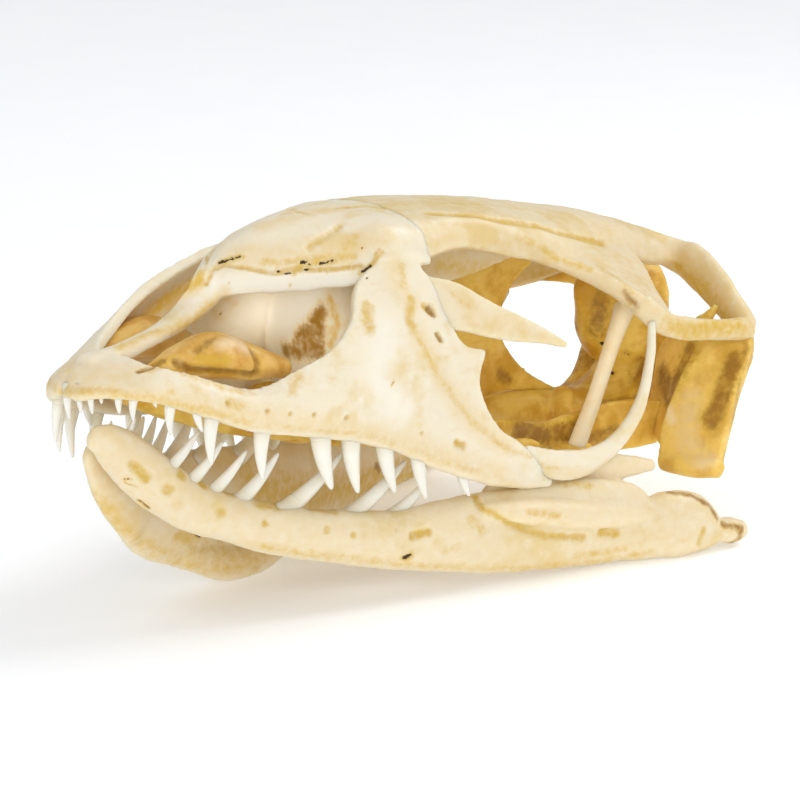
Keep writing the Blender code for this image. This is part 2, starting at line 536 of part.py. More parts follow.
def evaluated_mesh(obj):
    graph = bpy.context.evaluated_depsgraph_get()
    return bpy.data.meshes.new_from_object(obj.evaluated_get(graph))


def new_object(name, mesh):
    data = bpy.data.meshes.new(name)
    bmesh.ops.recalc_face_normals(mesh, faces=mesh.faces)
    mesh.to_mesh(data)
    mesh.free()
    obj = bpy.data.objects.new(name, data)
    bpy.context.scene.collection.objects.link(obj)
    return obj


def bake(obj):
    """Replaces the object's mesh by the result of its modifiers."""
    data = evaluated_mesh(obj)
    obj.modifiers.clear()
    obj.data = data


def fuse(obj, size=VOXEL, smooth=SMOOTH_STEPS):
    """Joins all shapes of the object into one closed skin."""
    remesh = obj.modifiers.new("skin", "REMESH")
    remesh.mode = "VOXEL"
    remesh.voxel_size = size
    if smooth:
        soften = obj.modifiers.new("soften", "SMOOTH")
        soften.factor = 0.5
        soften.iterations = smooth
    bake(obj)


def keep_largest(obj):
    """Drops the small loose pieces that a cut can leave."""
    mesh = bmesh.new()
    mesh.from_mesh(obj.data)
    left = set(mesh.verts)
    groups = []
    while left:
        seed = left.pop()
        group, queue = {seed}, [seed]
        while queue:
            for edge in queue.pop().link_edges:
                for vert in edge.verts:
                    if vert in left:
                        left.discard(vert)
                        group.add(vert)
                        queue.append(vert)
        groups.append(group)
    groups.sort(key=len)
    for group in groups[:-1]:
        bmesh.ops.delete(mesh, geom=list(group), context="VERTS")
    mesh.to_mesh(obj.data)
    mesh.free()


def swollen(source, amount):
    """A copy of a bone grown by the clearance, used to cut its neighbour."""
    copy = bpy.data.objects.new(source.name + "_room", source.data.copy())
    helpers.objects.link(copy)
    copy.hide_render = True
    copy.display_type = "WIRE"
    grow = copy.modifiers.new("grow", "DISPLACE")
    grow.strength = amount
    grow.mid_level = 0.0
    skin = copy.modifiers.new("skin", "REMESH")
    skin.mode = "VOXEL"
    skin.voxel_size = VOXEL
    bake(copy)
    return copy


def clear_of(obj, others):
    """Cuts the bone back wherever it would touch one of the others."""
    for other in others:
        cut = obj.modifiers.new("clearance", "BOOLEAN")
        cut.operation = "DIFFERENCE"
        cut.solver = "EXACT"
        cut.object = other
        bake(obj)
    keep_largest(obj)
    fuse(obj, VOXEL, 1)
    keep_largest(obj)


def thin_out(obj, triangles):
    data = obj.data
    data.calc_loop_triangles()
    ratio = triangles / len(data.loop_triangles)
    if ratio < 1:
        fewer = obj.modifiers.new("facets", "DECIMATE")
        fewer.ratio = ratio
        bake(obj)


def tooth_object(name, teeth):
    """Slightly curved cones, all in one helper."""
    mesh = bmesh.new()
    for base, tip, radius in teeth:
        start, end = Vector(base), Vector(tip)
        axis = (end - start).normalized()
        start = start - axis * radius * TOOTH_ROOT
        side = axis.cross(Vector((0, 1, 0))).normalized()
        across = side.cross(axis).normalized()
        rings = []
        for share, size in TOOTH_RINGS:
            bend = TOOTH_BEND * radius * math.sin(math.pi * share)
            middle = start.lerp(end, share) - side * bend
            rings.append([
                mesh.verts.new(
                    middle
                    + side * radius * size * math.cos(2 * math.pi * k / TOOTH_SIDES)
                    + across * radius * size * TOOTH_FLATNESS * math.sin(2 * math.pi * k / TOOTH_SIDES)
                )
                for k in range(TOOTH_SIDES)
            ])
        point = mesh.verts.new(end)
        mesh.faces.new(list(reversed(rings[0])))
        for k in range(TOOTH_SIDES):
            n = (k + 1) % TOOTH_SIDES
            mesh.faces.new((rings[0][k], rings[0][n], rings[1][n], rings[1][k]))
            mesh.faces.new((rings[1][k], rings[1][n], point))
    obj = new_object(name, mesh)
    bpy.context.scene.collection.objects.unlink(obj)
    helpers.objects.link(obj)
    obj.hide_render = True
    obj.display_type = "WIRE"
    return obj


def hung_right(teeth):
    """The same teeth in the deeper tooth row of the right side."""
    where, drop = zip(*RIGHT_DROP)
    placed = []
    for base, tip, radius in side_teeth(teeth, mirrored):
        fall = np.array([0.0, 0.0, np.interp(base[0], where, drop)])
        placed.append((tuple(np.array(base) - fall), tuple(np.array(tip) - fall), radius))
    return placed


def teeth_on(stations, teeth, side):
    """Moves the lower teeth onto the upper edge of a ramus."""
    rows = spline(stations, 6)
    placed = []
    for base, tip, radius in side_teeth(teeth, side):
        row = rows[np.argmin(np.abs(rows[:, 0] - base[0]))]
        move = np.array([0.0, row[1] - base[1], row[3] - TOOTH_SEAT - base[2]])
        placed.append((tuple(np.array(base) + move), tuple(np.array(tip) + move), radius))
    return placed


def side_teeth(teeth, side):
    return [(side([base])[0], side([tip])[0], radius) for base, tip, radius in teeth]


def add_teeth(obj, teeth):
    cones = tooth_object(obj.name + "_teeth", teeth)
    join = obj.modifiers.new("teeth", "BOOLEAN")
    join.operation = "UNION"
    join.solver = "EXACT"
    join.use_self = True
    join.object = cones
    bake(obj)


def flatten_under(obj):
    """Levels the lower edge at z = 0, where the bone stands on the ground."""
    block = bmesh.new()
    bmesh.ops.create_cube(block, size=1.0)
    bmesh.ops.scale(block, vec=GROUND_SIZE, verts=block.verts)
    bmesh.ops.translate(block, vec=GROUND_CENTRE, verts=block.verts)
    ground = new_object(obj.name + "_ground", block)
    bpy.context.scene.collection.objects.unlink(ground)
    helpers.objects.link(ground)
    ground.hide_render = True
    ground.display_type = "WIRE"
    cut = obj.modifiers.new("stand", "BOOLEAN")
    cut.operation = "DIFFERENCE"
    cut.solver = "EXACT"
    cut.object = ground
    bake(obj)


def material(name):
    found = bpy.data.materials.get(name)
    if found:
        return found
    colour, rough = MATERIAL_LOOK[name]
    made = bpy.data.materials.new(name)
    made.use_nodes = True
    shader = made.node_tree.nodes["Principled BSDF"]
    shader.inputs["Base Color"].default_value = colour + (1.0,)
    shader.inputs["Roughness"].default_value = rough
    made.diffuse_color = colour + (1.0,)
    return made


def snout_mesh():
    mesh = bmesh.new()
    right = [mirrored(row) for row in WALL]
    for i, row in TALL_WALL.items():
        right[i] = row
    for rows, inward in ((WALL, RIM_INSET), (right, -RIM_INSET)):
        add_plate(mesh, rows, SHELL)
        edge = [
            (x, y + inward, z + RIM_RISE, RIM_HALF_WIDTH, RIM_HALF_HEIGHT)
            for (x, y, z), *_ in rows[1:]
        ]
        add_bar(mesh, edge, per=3)
    add_plate(mesh, NASAL_ROOF, SHELL)
    add_bar(mesh, NASAL_BAR)
    for side in (same, mirrored):
        add_plate(mesh, [side(row) for row in PREFRONTAL_WALL], SHEET)
        add_bar(mesh, side(PREFRONTAL_RIM))
    return mesh


def roof_mesh():
    mesh = bmesh.new()
    rows = []
    for x, half in ROOF:
        left = [(x, -w, z) for w, z in half]
        rows.append(left + [(x, w, z) for w, z in reversed(half[:-1])])
    add_plate(mesh, rows, ROOF_THICKNESS)
    for side in (same, mirrored):
        add_plate(mesh, [side(row) for row in FRONTAL_FLANGE], SHEET)
        add_plate(mesh, [side(row) for row in POSTORBITAL], ROOF_THICKNESS)
        add_bar(mesh, side(ORBIT_RIM))
        add_bar(mesh, side(LOWER_ARCADE))
        add_bar(mesh, side(REAR_ARM))
    return mesh


def braincase_mesh():
    mesh = bmesh.new()
    add_bar(mesh, BRAINCASE_BODY)
    add_bar(mesh, BASISPHENOID)
    for side in (same, mirrored):
        add_bar(mesh, side(BASIPTERYGOID))
        add_bar(mesh, side(BASAL_TUBER))
    for process in (PAROCCIPITAL_LEFT, PAROCCIPITAL_RIGHT):
        add_plate(mesh, process, ROOF_THICKNESS)
    return mesh


def palate_mesh(side):
    mesh = bmesh.new()
    for bar in (VOMER, PALATINE, PALATINE_SIDE, PTERYGOID, ECTOPTERYGOID):
        add_bar(mesh, side(bar))
    add_plate(mesh, [side(row) for row in PTERYGOID_WING], SHELL)
    return mesh


def septum_mesh():
    mesh = bmesh.new()
    add_plate(mesh, SEPTUM, SHEET)
    return mesh


def quadrate_mesh(side):
    mesh = bmesh.new()
    add_plate(mesh, QUADRATE if side is same else QUADRATE_RIGHT, QUADRATE_THICKNESS)
    add_bar(mesh, side(CONDYLE))
    if side is same:
        add_plate(mesh, QUADRATE_FLANGE, SHEET)
    return mesh


def bar_mesh(points):
    mesh = bmesh.new()
    add_bar(mesh, points)
    return mesh


def palpebral_mesh(side):
    mesh = bmesh.new()
    add_plate(mesh, [side(row) for row in PALPEBRAL], SHEET)
    return mesh


def mandible_mesh(stations, side):
    mesh = bmesh.new()
    add_ramus(mesh, stations)
    add_bar(mesh, side(CORONOID))
    add_bar(mesh, side(LENS))
    if side is mirrored:
        add_bar(mesh, CHIN_KEEL)
    return mesh


def same(points):
    return list(points)


for old in list(bpy.data.objects):
    bpy.data.objects.remove(old)

skull = bpy.data.collections.new("monitor_lizard_skull")
helpers = bpy.data.collections.new("helpers")
bpy.context.scene.collection.children.link(skull)
bpy.context.scene.collection.children.link(helpers)

sides = (("left", same), ("right", mirrored))
rods = {"left": EPIPTERYGOID_LEFT, "right": EPIPTERYGOID_RIGHT}
bones = {}


def make(name, kind, mesh, look, avoid=()):
    obj = new_object(name, mesh)
    fuse(obj)
    keep_largest(obj)
    if avoid:
        clear_of(obj, [rooms[other] for other in avoid])
    bones[name] = (obj, kind, look)
    rooms[name] = swollen(obj, GAP)


rooms = {}
make("snout", "snout", snout_mesh(), "jaw_bone")
make("skull_roof", "skull_roof", roof_mesh(), "roof_bone", ["snout"])
for label, side in sides:
    make("quadrate_" + label, "quadrate", quadrate_mesh(side), "rear_bone", ["skull_roof"])
make("braincase", "braincase", braincase_mesh(), "rear_bone",
     ["skull_roof", "quadrate_left", "quadrate_right"])
make("septum", "septum", septum_mesh(), "rear_bone", ["skull_roof", "snout", "braincase"])
for label, side in sides:
    other_palate = ["palate_left"] if label == "right" else []
    make("palate_" + label, "palate", palate_mesh(side), "rear_bone",
         ["snout", "braincase", "septum", "quadrate_" + label] + other_palate)
    make("jugal_" + label, "jugal", bar_mesh(side(JUGAL)), "jaw_bone",
         ["snout", "skull_roof", "palate_" + label])
    make("epipterygoid_" + label, "epipterygoid", bar_mesh(rods[label]), "rear_bone",
         ["braincase", "palate_" + label, "skull_roof"])
    make("palpebral_" + label, "palpebral", palpebral_mesh(side), "jaw_bone",
         ["snout", "skull_roof"])
    make("septomaxilla_" + label, "septomaxilla", bar_mesh(side(SEPTOMAXILLA)), "nasal_bone",
         ["snout", "palate_" + label])
make("mandible_left", "mandible", mandible_mesh(RAMUS_LEFT, same), "jaw_bone",
     ["snout", "quadrate_left", "palate_left", "jugal_left"])
make("mandible_right", "mandible", mandible_mesh(RAMUS_RIGHT, mirrored), "jaw_bone",
     ["snout", "quadrate_right", "palate_right", "jugal_right", "mandible_left"])

for name, (obj, kind, look) in bones.items():
    thin_out(obj, BUDGET[kind])
    if name == "snout":
        right = RIGHT_FRONT_TEETH + hung_right(UPPER_TEETH[4:])
        add_teeth(obj, UPPER_TEETH + right)
    elif name == "mandible_left":
        add_teeth(obj, LOWER_TEETH)
    elif name == "mandible_right":
        add_teeth(obj, teeth_on(RAMUS_RIGHT, LOWER_TEETH, mirrored))
    if kind == "mandible":
        flatten_under(obj)

corners = []
for obj, kind, look in bones.values():
    points = np.empty(len(obj.data.vertices) * 3)
    obj.data.vertices.foreach_get("co", points)
    corners.append(points.reshape(-1, 3))
everything = np.vstack(corners)
low, high = everything.min(axis=0), everything.max(axis=0)
shift = np.array([(low[0] + high[0]) / 2, (low[1] + high[1]) / 2, low[2]])
print("extent in mm", np.round(high - low, 2), "shift", np.round(shift, 3))

for (obj, kind, look), points in zip(bones.values(), corners):
    obj.data.vertices.foreach_set("co", ((points - shift) * 0.001).ravel())
    obj.data.update()
    obj.data.materials.clear()
    obj.data.materials.append(material(look))
    bpy.context.scene.collection.objects.unlink(obj)
    skull.objects.link(obj)
for helper in list(helpers.objects):
    bpy.data.objects.remove(helper)
bpy.data.collections.remove(helpers)
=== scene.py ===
"""Looks of the monitor lizard skull: fine bone surfaces, teeth, stains and light.

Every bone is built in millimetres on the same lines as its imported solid, then moved
into the frame in metres. The snout points to -X and the animal's left side is -Y.
"""

import math

import bmesh
import bpy
import numpy as np
from mathutils import Matrix, Vector
from mathutils.bvhtree import BVHTree
from mathutils.kdtree import KDTree


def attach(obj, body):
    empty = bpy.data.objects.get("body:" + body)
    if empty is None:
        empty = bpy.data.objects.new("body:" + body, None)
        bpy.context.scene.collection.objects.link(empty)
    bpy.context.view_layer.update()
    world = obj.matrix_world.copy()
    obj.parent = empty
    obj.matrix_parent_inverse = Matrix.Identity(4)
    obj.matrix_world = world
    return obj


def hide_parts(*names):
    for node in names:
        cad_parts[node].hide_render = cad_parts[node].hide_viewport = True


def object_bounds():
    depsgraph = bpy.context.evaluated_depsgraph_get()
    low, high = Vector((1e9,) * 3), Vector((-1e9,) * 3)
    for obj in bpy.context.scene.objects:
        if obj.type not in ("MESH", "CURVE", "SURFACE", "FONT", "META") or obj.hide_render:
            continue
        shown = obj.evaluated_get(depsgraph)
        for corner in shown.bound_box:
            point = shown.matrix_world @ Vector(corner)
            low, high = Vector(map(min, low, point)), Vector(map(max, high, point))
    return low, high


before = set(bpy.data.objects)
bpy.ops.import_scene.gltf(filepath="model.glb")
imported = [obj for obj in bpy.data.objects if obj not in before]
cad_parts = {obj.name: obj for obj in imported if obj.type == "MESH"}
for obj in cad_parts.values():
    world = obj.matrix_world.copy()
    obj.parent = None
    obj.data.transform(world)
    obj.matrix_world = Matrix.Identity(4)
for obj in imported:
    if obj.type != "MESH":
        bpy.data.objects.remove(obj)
cad_low, cad_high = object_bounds()

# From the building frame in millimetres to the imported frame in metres.
SHIFT = np.array([43.859, -0.056, 0.0])
MM = 0.001

# Viewpoint: heading and depression in degrees, distance and target in millimetres,
# and the scale of the picture at the target in pixels per millimetre.
IMAGE_SIDE = 800
CAMERA_YAW = 43.5
CAMERA_DROP = 14.0
CAMERA_DISTANCE = 340.0
CAMERA_TARGET = (46.0, 0.0, 18.3)
CAMERA_SCALE = 8.65
SENSOR = 36.0

# Fineness of the bone surfaces.
VOXEL = 0.275
SMOOTH_STEPS = 4
# Lumps of dry bone: name, size and depth in millimetres.
RELIEF = (("broad", 4.5, 0.30), ("middle", 1.6, 0.12), ("fine", 0.7, 0.05))
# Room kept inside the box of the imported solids, in metres.
BOX_MARGIN = 1e-5
TOOTH_SIDES = 20
TOOTH_RINGS = 16
# How far the teeth stand inside the outer face of the jaws, the share of it that they
# stand back, and the share of both that their tips move.
TOOTH_INSET = 0.55
BACK_INSET_SHARE = 0.6
TIP_INSET_SHARE = 0.7
# How deep a tooth starts below the edge of the jaw, in millimetres and in its radius.
TOOTH_SINK = 0.9
ROOT_DEPTH = 0.9
# A tooth's bend and its sideways flatness, in its radius, and where its tip starts to round.
TOOTH_BEND = 0.35
TOOTH_FLATNESS = 0.85
TIP_START = 0.97

# Thickness of the outer walls, of thin inner sheets, of the roof and of the quadrate.
SHELL = 1.3
SHEET = 1.0
ROOF_THICKNESS = 1.6
QUADRATE_THICKNESS = 1.9

# Bar along the tooth row: how far it lies inside the wall and above its edge, and its half sizes.
RIM_INSET = 0.3
RIM_RISE = 0.35
RIM_HALF = (0.9, 0.75)

# Bars: least half size, the slope past which the side direction is taken another way,
# and the length of the rounded end in its half size.
THINNEST = 0.2
STEEP = 0.35
CAP = 0.6

# Thin bones have only part of the relief.
THIN_BONES = ("jugal", "epipterygoid", "palpebral", "septum")
THIN_RELIEF = 0.5

# Studio: floor radius in metres, sky strength, and lamps by place, size and power.
FLOOR_RADIUS = 1.6
SKY = 0.64
LAMP_TARGET = (0.0, 0.0, 0.02)
LAMPS = {
    "key": ((0.30, -0.12, 0.42), 0.25, 0.82),
    "front": ((-0.34, -0.40, 0.17), 0.35, 0.85),
}

# Lateral wall of the left maxilla and premaxilla, from the tip backwards. Each row
# runs from the tooth row (first) up to the naris rim or roof edge (last).
WALL = [
    [(-2.3, -0.2, 26.8), (-2.1, -0.2, 27.6), (-1.7, -0.1, 28.4), (-1.0, -0.1, 29.0), (0.2, 0.0, 29.4)],
    [(-2.0, -2.0, 27.0), (-1.8, -1.9, 27.8), (-1.3, -1.6, 28.5), (-0.3, -1.0, 29.2), (1.2, 0.0, 29.8)],
    [(-1.1, -3.7, 27.4), (-0.7, -3.6, 28.1), (0.1, -3.2, 28.8), (1.2, -2.1, 29.6), (2.8, -0.2, 30.1)],
    [(0.3, -5.2, 27.5), (0.9, -5.2, 28.3), (1.7, -4.7, 28.9), (2.8, -3.5, 29.6), (4.2, -1.8, 30.1)],
    [(3.2, -7.7, 27.1), (3.7, -7.8, 27.9), (4.2, -7.4, 28.6), (4.7, -6.5, 29.2), (5.0, -5.6, 29.5)],
    [(6.4, -9.0, 26.0), (6.6, -9.3, 26.8), (6.9, -9.1, 27.6), (7.3, -8.4, 28.4), (7.4, -7.6, 28.9)],
    [(10.0, -10.2, 24.4), (10.0, -10.7, 25.3), (10.2, -10.7, 26.1), (10.4, -10.1, 27.0), (10.4, -9.2, 27.8)],
    [(14.6, -11.4, 22.5), (14.4, -12.0, 23.6), (14.4, -12.2, 24.6), (14.5, -11.7, 25.5), (14.8, -10.4, 26.3)],
    [(21.0, -12.6, 21.1), (20.6, -13.5, 22.8), (20.3, -13.8, 24.6), (20.0, -13.2, 26.3), (19.8, -11.6, 28.0)],
    [(27.0, -13.8, 19.6), (26.4, -14.5, 22.0), (25.6, -14.6, 24.8), (24.8, -13.8, 27.3), (24.1, -12.0, 29.5)],
    [(32.0, -14.8, 17.8), (31.2, -15.1, 21.4), (30.0, -14.8, 25.2), (28.8, -13.4, 29.0), (27.8, -11.2, 32.0)],
    [(36.0, -15.8, 15.6), (35.0, -15.6, 21.0), (33.6, -14.6, 26.6), (32.2, -12.6, 31.6), (30.6, -9.4, 35.7)],
    [(40.0, -16.8, 13.7), (38.6, -16.3, 20.2), (36.6, -14.8, 27.0), (35.4, -12.6, 33.0), (34.5, -9.4, 37.6)],
    [(42.0, -17.1, 13.0), (39.6, -16.6, 19.0), (37.8, -15.4, 25.0), (37.4, -13.2, 31.0), (38.4, -10.4, 36.8)],
    [(44.0, -17.4, 12.2), (41.0, -17.0, 17.5), (38.9, -16.2, 22.5), (38.2, -14.6, 28.0), (40.0, -12.0, 33.4)],
    [(48.0, -18.1, 11.3), (44.5, -18.0, 15.6), (41.4, -17.2, 20.0), (40.2, -16.0, 24.6), (41.0, -14.9, 28.4)],
    [(51.5, -18.9, 11.0), (47.8, -18.9, 15.6), (43.6, -17.9, 19.2), (41.9, -17.0, 23.6), (43.6, -16.0, 27.2)],
]

# The right maxilla is deeper than the left one and keeps its tall part beside the naris.
TALL_WALL = {
    1: [(-1.9, 1.8, 26.6), (-1.8, 1.8, 27.5), (-1.2, 1.5, 28.4), (-0.3, 0.9, 29.1), (1.2, 0.0, 29.8)],
    2: [(-1.0, 3.5, 26.0), (-1.0, 3.5, 27.1), (-0.3, 3.1, 28.3), (1.0, 2.0, 29.4), (2.8, 0.2, 30.1)],
    3: [(0.7, 5.0, 25.2), (0.9, 5.0, 26.6), (1.6, 4.6, 28.2), (2.8, 3.3, 29.6), (4.2, 1.8, 30.4)],
    4: [(3.6, 7.0, 24.2), (3.7, 7.0, 26.2), (4.2, 6.3, 28.6), (4.9, 4.9, 30.0), (5.6, 3.2, 30.9)],
    5: [(6.6, 8.3, 23.0), (6.6, 8.3, 25.4), (6.9, 7.7, 28.6), (7.4, 6.3, 30.7), (7.8, 4.6, 31.8)],
    6: [(10.0, 9.6, 21.7), (10.1, 9.8, 24.8), (10.2, 9.2, 28.4), (10.3, 7.8, 31.2), (10.4, 5.8, 33.0)],
    7: [(14.6, 11.0, 20.4), (14.7, 11.5, 23.8), (14.7, 10.9, 28.2), (14.6, 9.4, 32.2), (14.6, 7.2, 34.8)],
    8: [(21.0, 12.4, 19.4), (20.7, 13.1, 23.2), (20.3, 12.6, 28.4), (20.0, 10.6, 33.2), (19.8, 7.9, 36.5)],
    9: [(27.0, 13.7, 18.5), (26.2, 14.3, 22.8), (25.3, 13.7, 28.4), (24.7, 11.6, 33.8), (24.4, 8.6, 37.4)],
    10: [(32.0, 14.8, 17.3), (31.0, 14.9, 22.2), (29.7, 14.2, 28.0), (28.7, 12.0, 33.8), (28.2, 8.8, 37.8)],
    11: [(36.0, 15.8, 15.4), (35.0, 15.6, 21.0), (33.5, 14.6, 27.2), (32.4, 12.3, 33.3), (31.9, 9.2, 37.7)],
}

# Nasals and prefrontals, front to back, from the left edge over the midline to the right.
NASAL_ROOF = [
    [(17.0, -1.8, 34.9), (17.0, -1.0, 36.0), (17.0, 0.0, 36.5), (17.0, 1.0, 36.2), (17.0, 1.8, 35.3)],
    [(21.0, -3.2, 35.0), (20.2, -2.2, 37.4), (20.0, 0.0, 38.9), (20.2, 2.4, 38.2), (20.6, 4.4, 36.6)],
    [(24.6, -4.6, 34.9), (24.0, -3.8, 38.2), (24.0, 0.0, 40.5), (24.0, 3.8, 39.3), (24.5, 6.4, 37.5)],
    [(28.2, -6.2, 34.9), (28.0, -5.4, 38.6), (28.0, 0.0, 41.4), (28.0, 5.2, 39.9), (28.2, 8.2, 37.8)],
    [(31.8, -8.2, 35.3), (32.0, -6.6, 39.2), (32.0, 0.0, 41.9), (32.0, 6.4, 40.0), (32.0, 9.0, 37.8)],
    [(35.0, -9.6, 37.4), (36.0, -7.3, 40.6), (36.0, 0.0, 41.9), (36.0, 7.3, 40.6), (35.0, 9.6, 37.4)],
    [(40.8, -10.1, 36.8), (40.9, -7.6, 40.3), (40.9, 0.0, 41.5), (40.9, 7.6, 40.3), (40.8, 10.1, 36.8)],
]

# Wall of the left prefrontal between nasal cavity and orbit, from the side inwards.
PREFRONTAL_WALL = [
    [(39.4, -15.8, 20.0), (39.0, -15.0, 26.0), (38.8, -13.2, 31.5), (39.2, -10.0, 36.8)],
    [(37.4, -11.0, 19.6), (36.6, -10.4, 26.0), (37.0, -9.6, 32.0), (38.0, -8.2, 38.4)],
    [(36.6, -5.0, 19.6), (36.0, -5.0, 26.0), (36.6, -5.0, 33.0), (38.0, -4.6, 40.0)],
    [(37.0, 0.0, 19.6), (36.4, 0.0, 26.0), (37.0, 0.0, 33.0), (38.4, 0.0, 40.8)],
]

# Brow of the left prefrontal above the naris: x, y, z, half width, half height.
PREFRONTAL_RIM = [
    (33.5, -9.4, 37.4, 0.9, 0.9),
    (38.0, -10.0, 37.3, 0.8, 0.8),
    (40.8, -10.0, 36.9, 0.6, 0.6),
]

# Process of the premaxilla between the two nares: x, y, z, half width, half height.
NASAL_BAR = [
    (0.5, 0.0, 30.0, 1.6, 0.9),
    (6.0, 0.0, 30.6, 1.3, 0.9),
    (11.5, 0.0, 32.0, 1.6, 1.0),
    (15.4, 0.0, 34.0, 2.1, 1.2),
    (19.0, 0.0, 36.6, 2.6, 1.2),
]

# Frontals and parietal: x, then (half width, z) from the side flange to the midline.
ROOF = [
    (40.3, [(9.9, 37.0), (7.5, 40.2), (4.0, 41.2), (0.0, 41.5)]),
    (46.0, [(9.4, 37.4), (7.9, 40.0), (4.0, 40.9), (0.0, 41.2)]),
    (52.0, [(8.6, 36.0), (8.1, 38.9), (4.2, 40.2), (0.0, 40.5)]),
    (58.0, [(8.7, 34.4), (8.4, 37.5), (4.6, 39.2), (0.0, 39.7)]),
    (63.0, [(10.5, 33.4), (8.8, 36.0), (5.0, 38.0), (0.0, 38.8)]),
    (68.0, [(9.0, 33.4), (7.6, 35.7), (4.6, 37.2), (0.0, 37.8)]),
    (74.0, [(7.6, 32.5), (6.4, 34.8), (3.8, 36.2), (0.0, 36.6)]),
    (80.0, [(6.8, 30.9), (5.7, 33.3), (3.2, 34.5), (0.0, 34.8)]),
    (85.5, [(6.8, 29.9), (5.4, 31.7), (3.0, 32.6), (0.0, 32.9)]),
]
# Flange of the left frontal that walls the orbit beside the olfactory tract.
FRONTAL_FLANGE = [
    [(41.4, -4.6, 40.4), (41.4, -4.0, 36.0), (41.4, -3.2, 32.4)],
    [(48.0, -5.0, 40.2), (47.6, -4.2, 35.6), (47.2, -3.2, 32.0)],
    [(55.0, -5.2, 39.2), (55.0, -4.4, 35.6), (55.0, -3.6, 33.0)],
    [(63.0, -5.4, 37.4), (63.0, -5.0, 36.0), (63.0, -4.8, 34.8)],
]
# Thin wall in the midline between the orbits, front to rear, each row upwards. Its
# rear margin is hollowed out by the round window in front of the braincase.
SEPTUM = [
    [(41.6, 0.0, 18.6), (41.6, 0.0, 23.0), (41.6, 0.0, 28.0), (41.6, 0.0, 33.0), (41.6, 0.0, 38.8)],
    [(50.0, 0.0, 17.8), (49.0, 0.0, 22.0), (49.0, 0.0, 27.0), (49.5, 0.0, 32.0), (50.0, 0.0, 38.4)],
    [(58.0, 0.0, 17.4), (56.0, 0.0, 21.4), (55.6, 0.0, 26.0), (57.0, 0.0, 31.0), (59.0, 0.0, 37.4)],
    [(72.6, 0.0, 15.0), (66.2, 0.0, 18.8), (62.2, 0.0, 23.8), (63.6, 0.0, 28.8), (70.5, 0.0, 33.6)],
]
# Left postorbital plate behind the orbit, each row outwards, and the bars round it: x, y, z,
# half width, half height.
POSTORBITAL = [
    [(60.0, -8.2, 35.2), (63.2, -12.0, 33.0), (65.3, -15.8, 31.1), (66.9, -18.0, 29.2)],
    [(68.0, -7.0, 34.9), (69.2, -11.4, 32.6), (69.6, -15.4, 30.2), (69.4, -18.6, 28.0)],
    [(76.6, -5.8, 33.1), (75.2, -10.6, 31.3), (72.5, -15.4, 29.0), (70.8, -18.8, 27.4)],
]
ORBIT_RIM = [
    (58.5, -8.4, 35.2, 0.9, 0.9),
    (63.3, -12.0, 32.9, 1.0, 1.0),
    (65.6, -15.8, 30.9, 1.1, 1.1),
    (67.4, -18.0, 29.2, 1.2, 1.3),
]
LOWER_ARCADE = [
    (67.0, -18.2, 29.4, 1.1, 1.5),
    (70.2, -19.6, 26.6, 0.9, 1.4),
    (77.0, -20.4, 25.2, 1.0, 1.3),
    (83.2, -20.8, 24.4, 1.3, 1.4),
]
REAR_ARM = [
    (82.5, -3.0, 33.0, 1.6, 1.5),
    (86.4, -6.5, 30.8, 1.4, 2.1),
    (86.2, -10.0, 29.9, 1.3, 2.7),
    (85.4, -13.5, 28.2, 1.3, 2.7),
    (84.4, -17.0, 26.2, 1.3, 2.3),
    (83.4, -20.4, 24.4, 1.4, 1.7),
]

# Braincase bodies along the midline and the pairs that branch off it.
BRAINCASE_BODY = [
    (77.0, 0.0, 28.6, 1.1, 2.2),
    (79.2, 0.0, 26.6, 2.4, 4.4),
    (82.0, 0.0, 24.4, 4.4, 6.8),
    (85.6, 0.0, 22.8, 5.6, 7.0),
    (88.0, 0.0, 21.8, 3.2, 3.8),
    (89.8, 0.0, 21.0, 1.6, 1.6),
]
BASISPHENOID = [
    (56.0, 0.0, 15.2, 0.8, 0.8),
    (63.0, 0.0, 14.6, 1.6, 1.7),
    (69.0, 0.0, 13.2, 3.2, 2.6),
    (76.0, 0.0, 12.0, 4.2, 2.9),
    (81.0, 0.0, 13.2, 3.6, 3.2),
    (85.0, 0.0, 16.4, 3.4, 3.6),
    (87.0, 0.0, 19.0, 3.0, 3.0),
]
BASIPTERYGOID = [
    (71.5, -1.5, 15.0, 1.4, 1.3),
    (69.6, -3.8, 13.8, 1.2, 1.2),
    (68.2, -5.6, 12.6, 1.4, 1.0),
]
BASAL_TUBER = [
    (74.0, -2.4, 12.8, 1.8, 1.6),
    (79.5, -4.4, 11.6, 2.2, 2.4),
    (84.0, -5.2, 13.4, 2.2, 3.2),
    (86.6, -5.4, 18.2, 2.0, 3.0),
]
PAROCCIPITAL_LEFT = [
    [(84.0, -3.4, 19.4), (84.2, -3.4, 21.6), (84.4, -3.4, 23.8)],
    [(86.4, -10.4, 19.4), (86.4, -10.4, 20.9), (86.4, -10.4, 22.4)],
    [(84.8, -16.4, 21.4), (84.8, -16.4, 22.6), (84.8, -16.4, 23.8)],
]
PAROCCIPITAL_RIGHT = [
    [(84.0, 3.4, 22.6), (84.4, 3.4, 25.2), (84.6, 3.4, 27.8)],
    [(87.0, 10.4, 24.4), (87.0, 10.4, 25.6), (87.0, 10.4, 26.8)],
    [(84.8, 16.4, 24.6), (84.8, 16.4, 25.8), (84.8, 16.4, 27.0)],
]

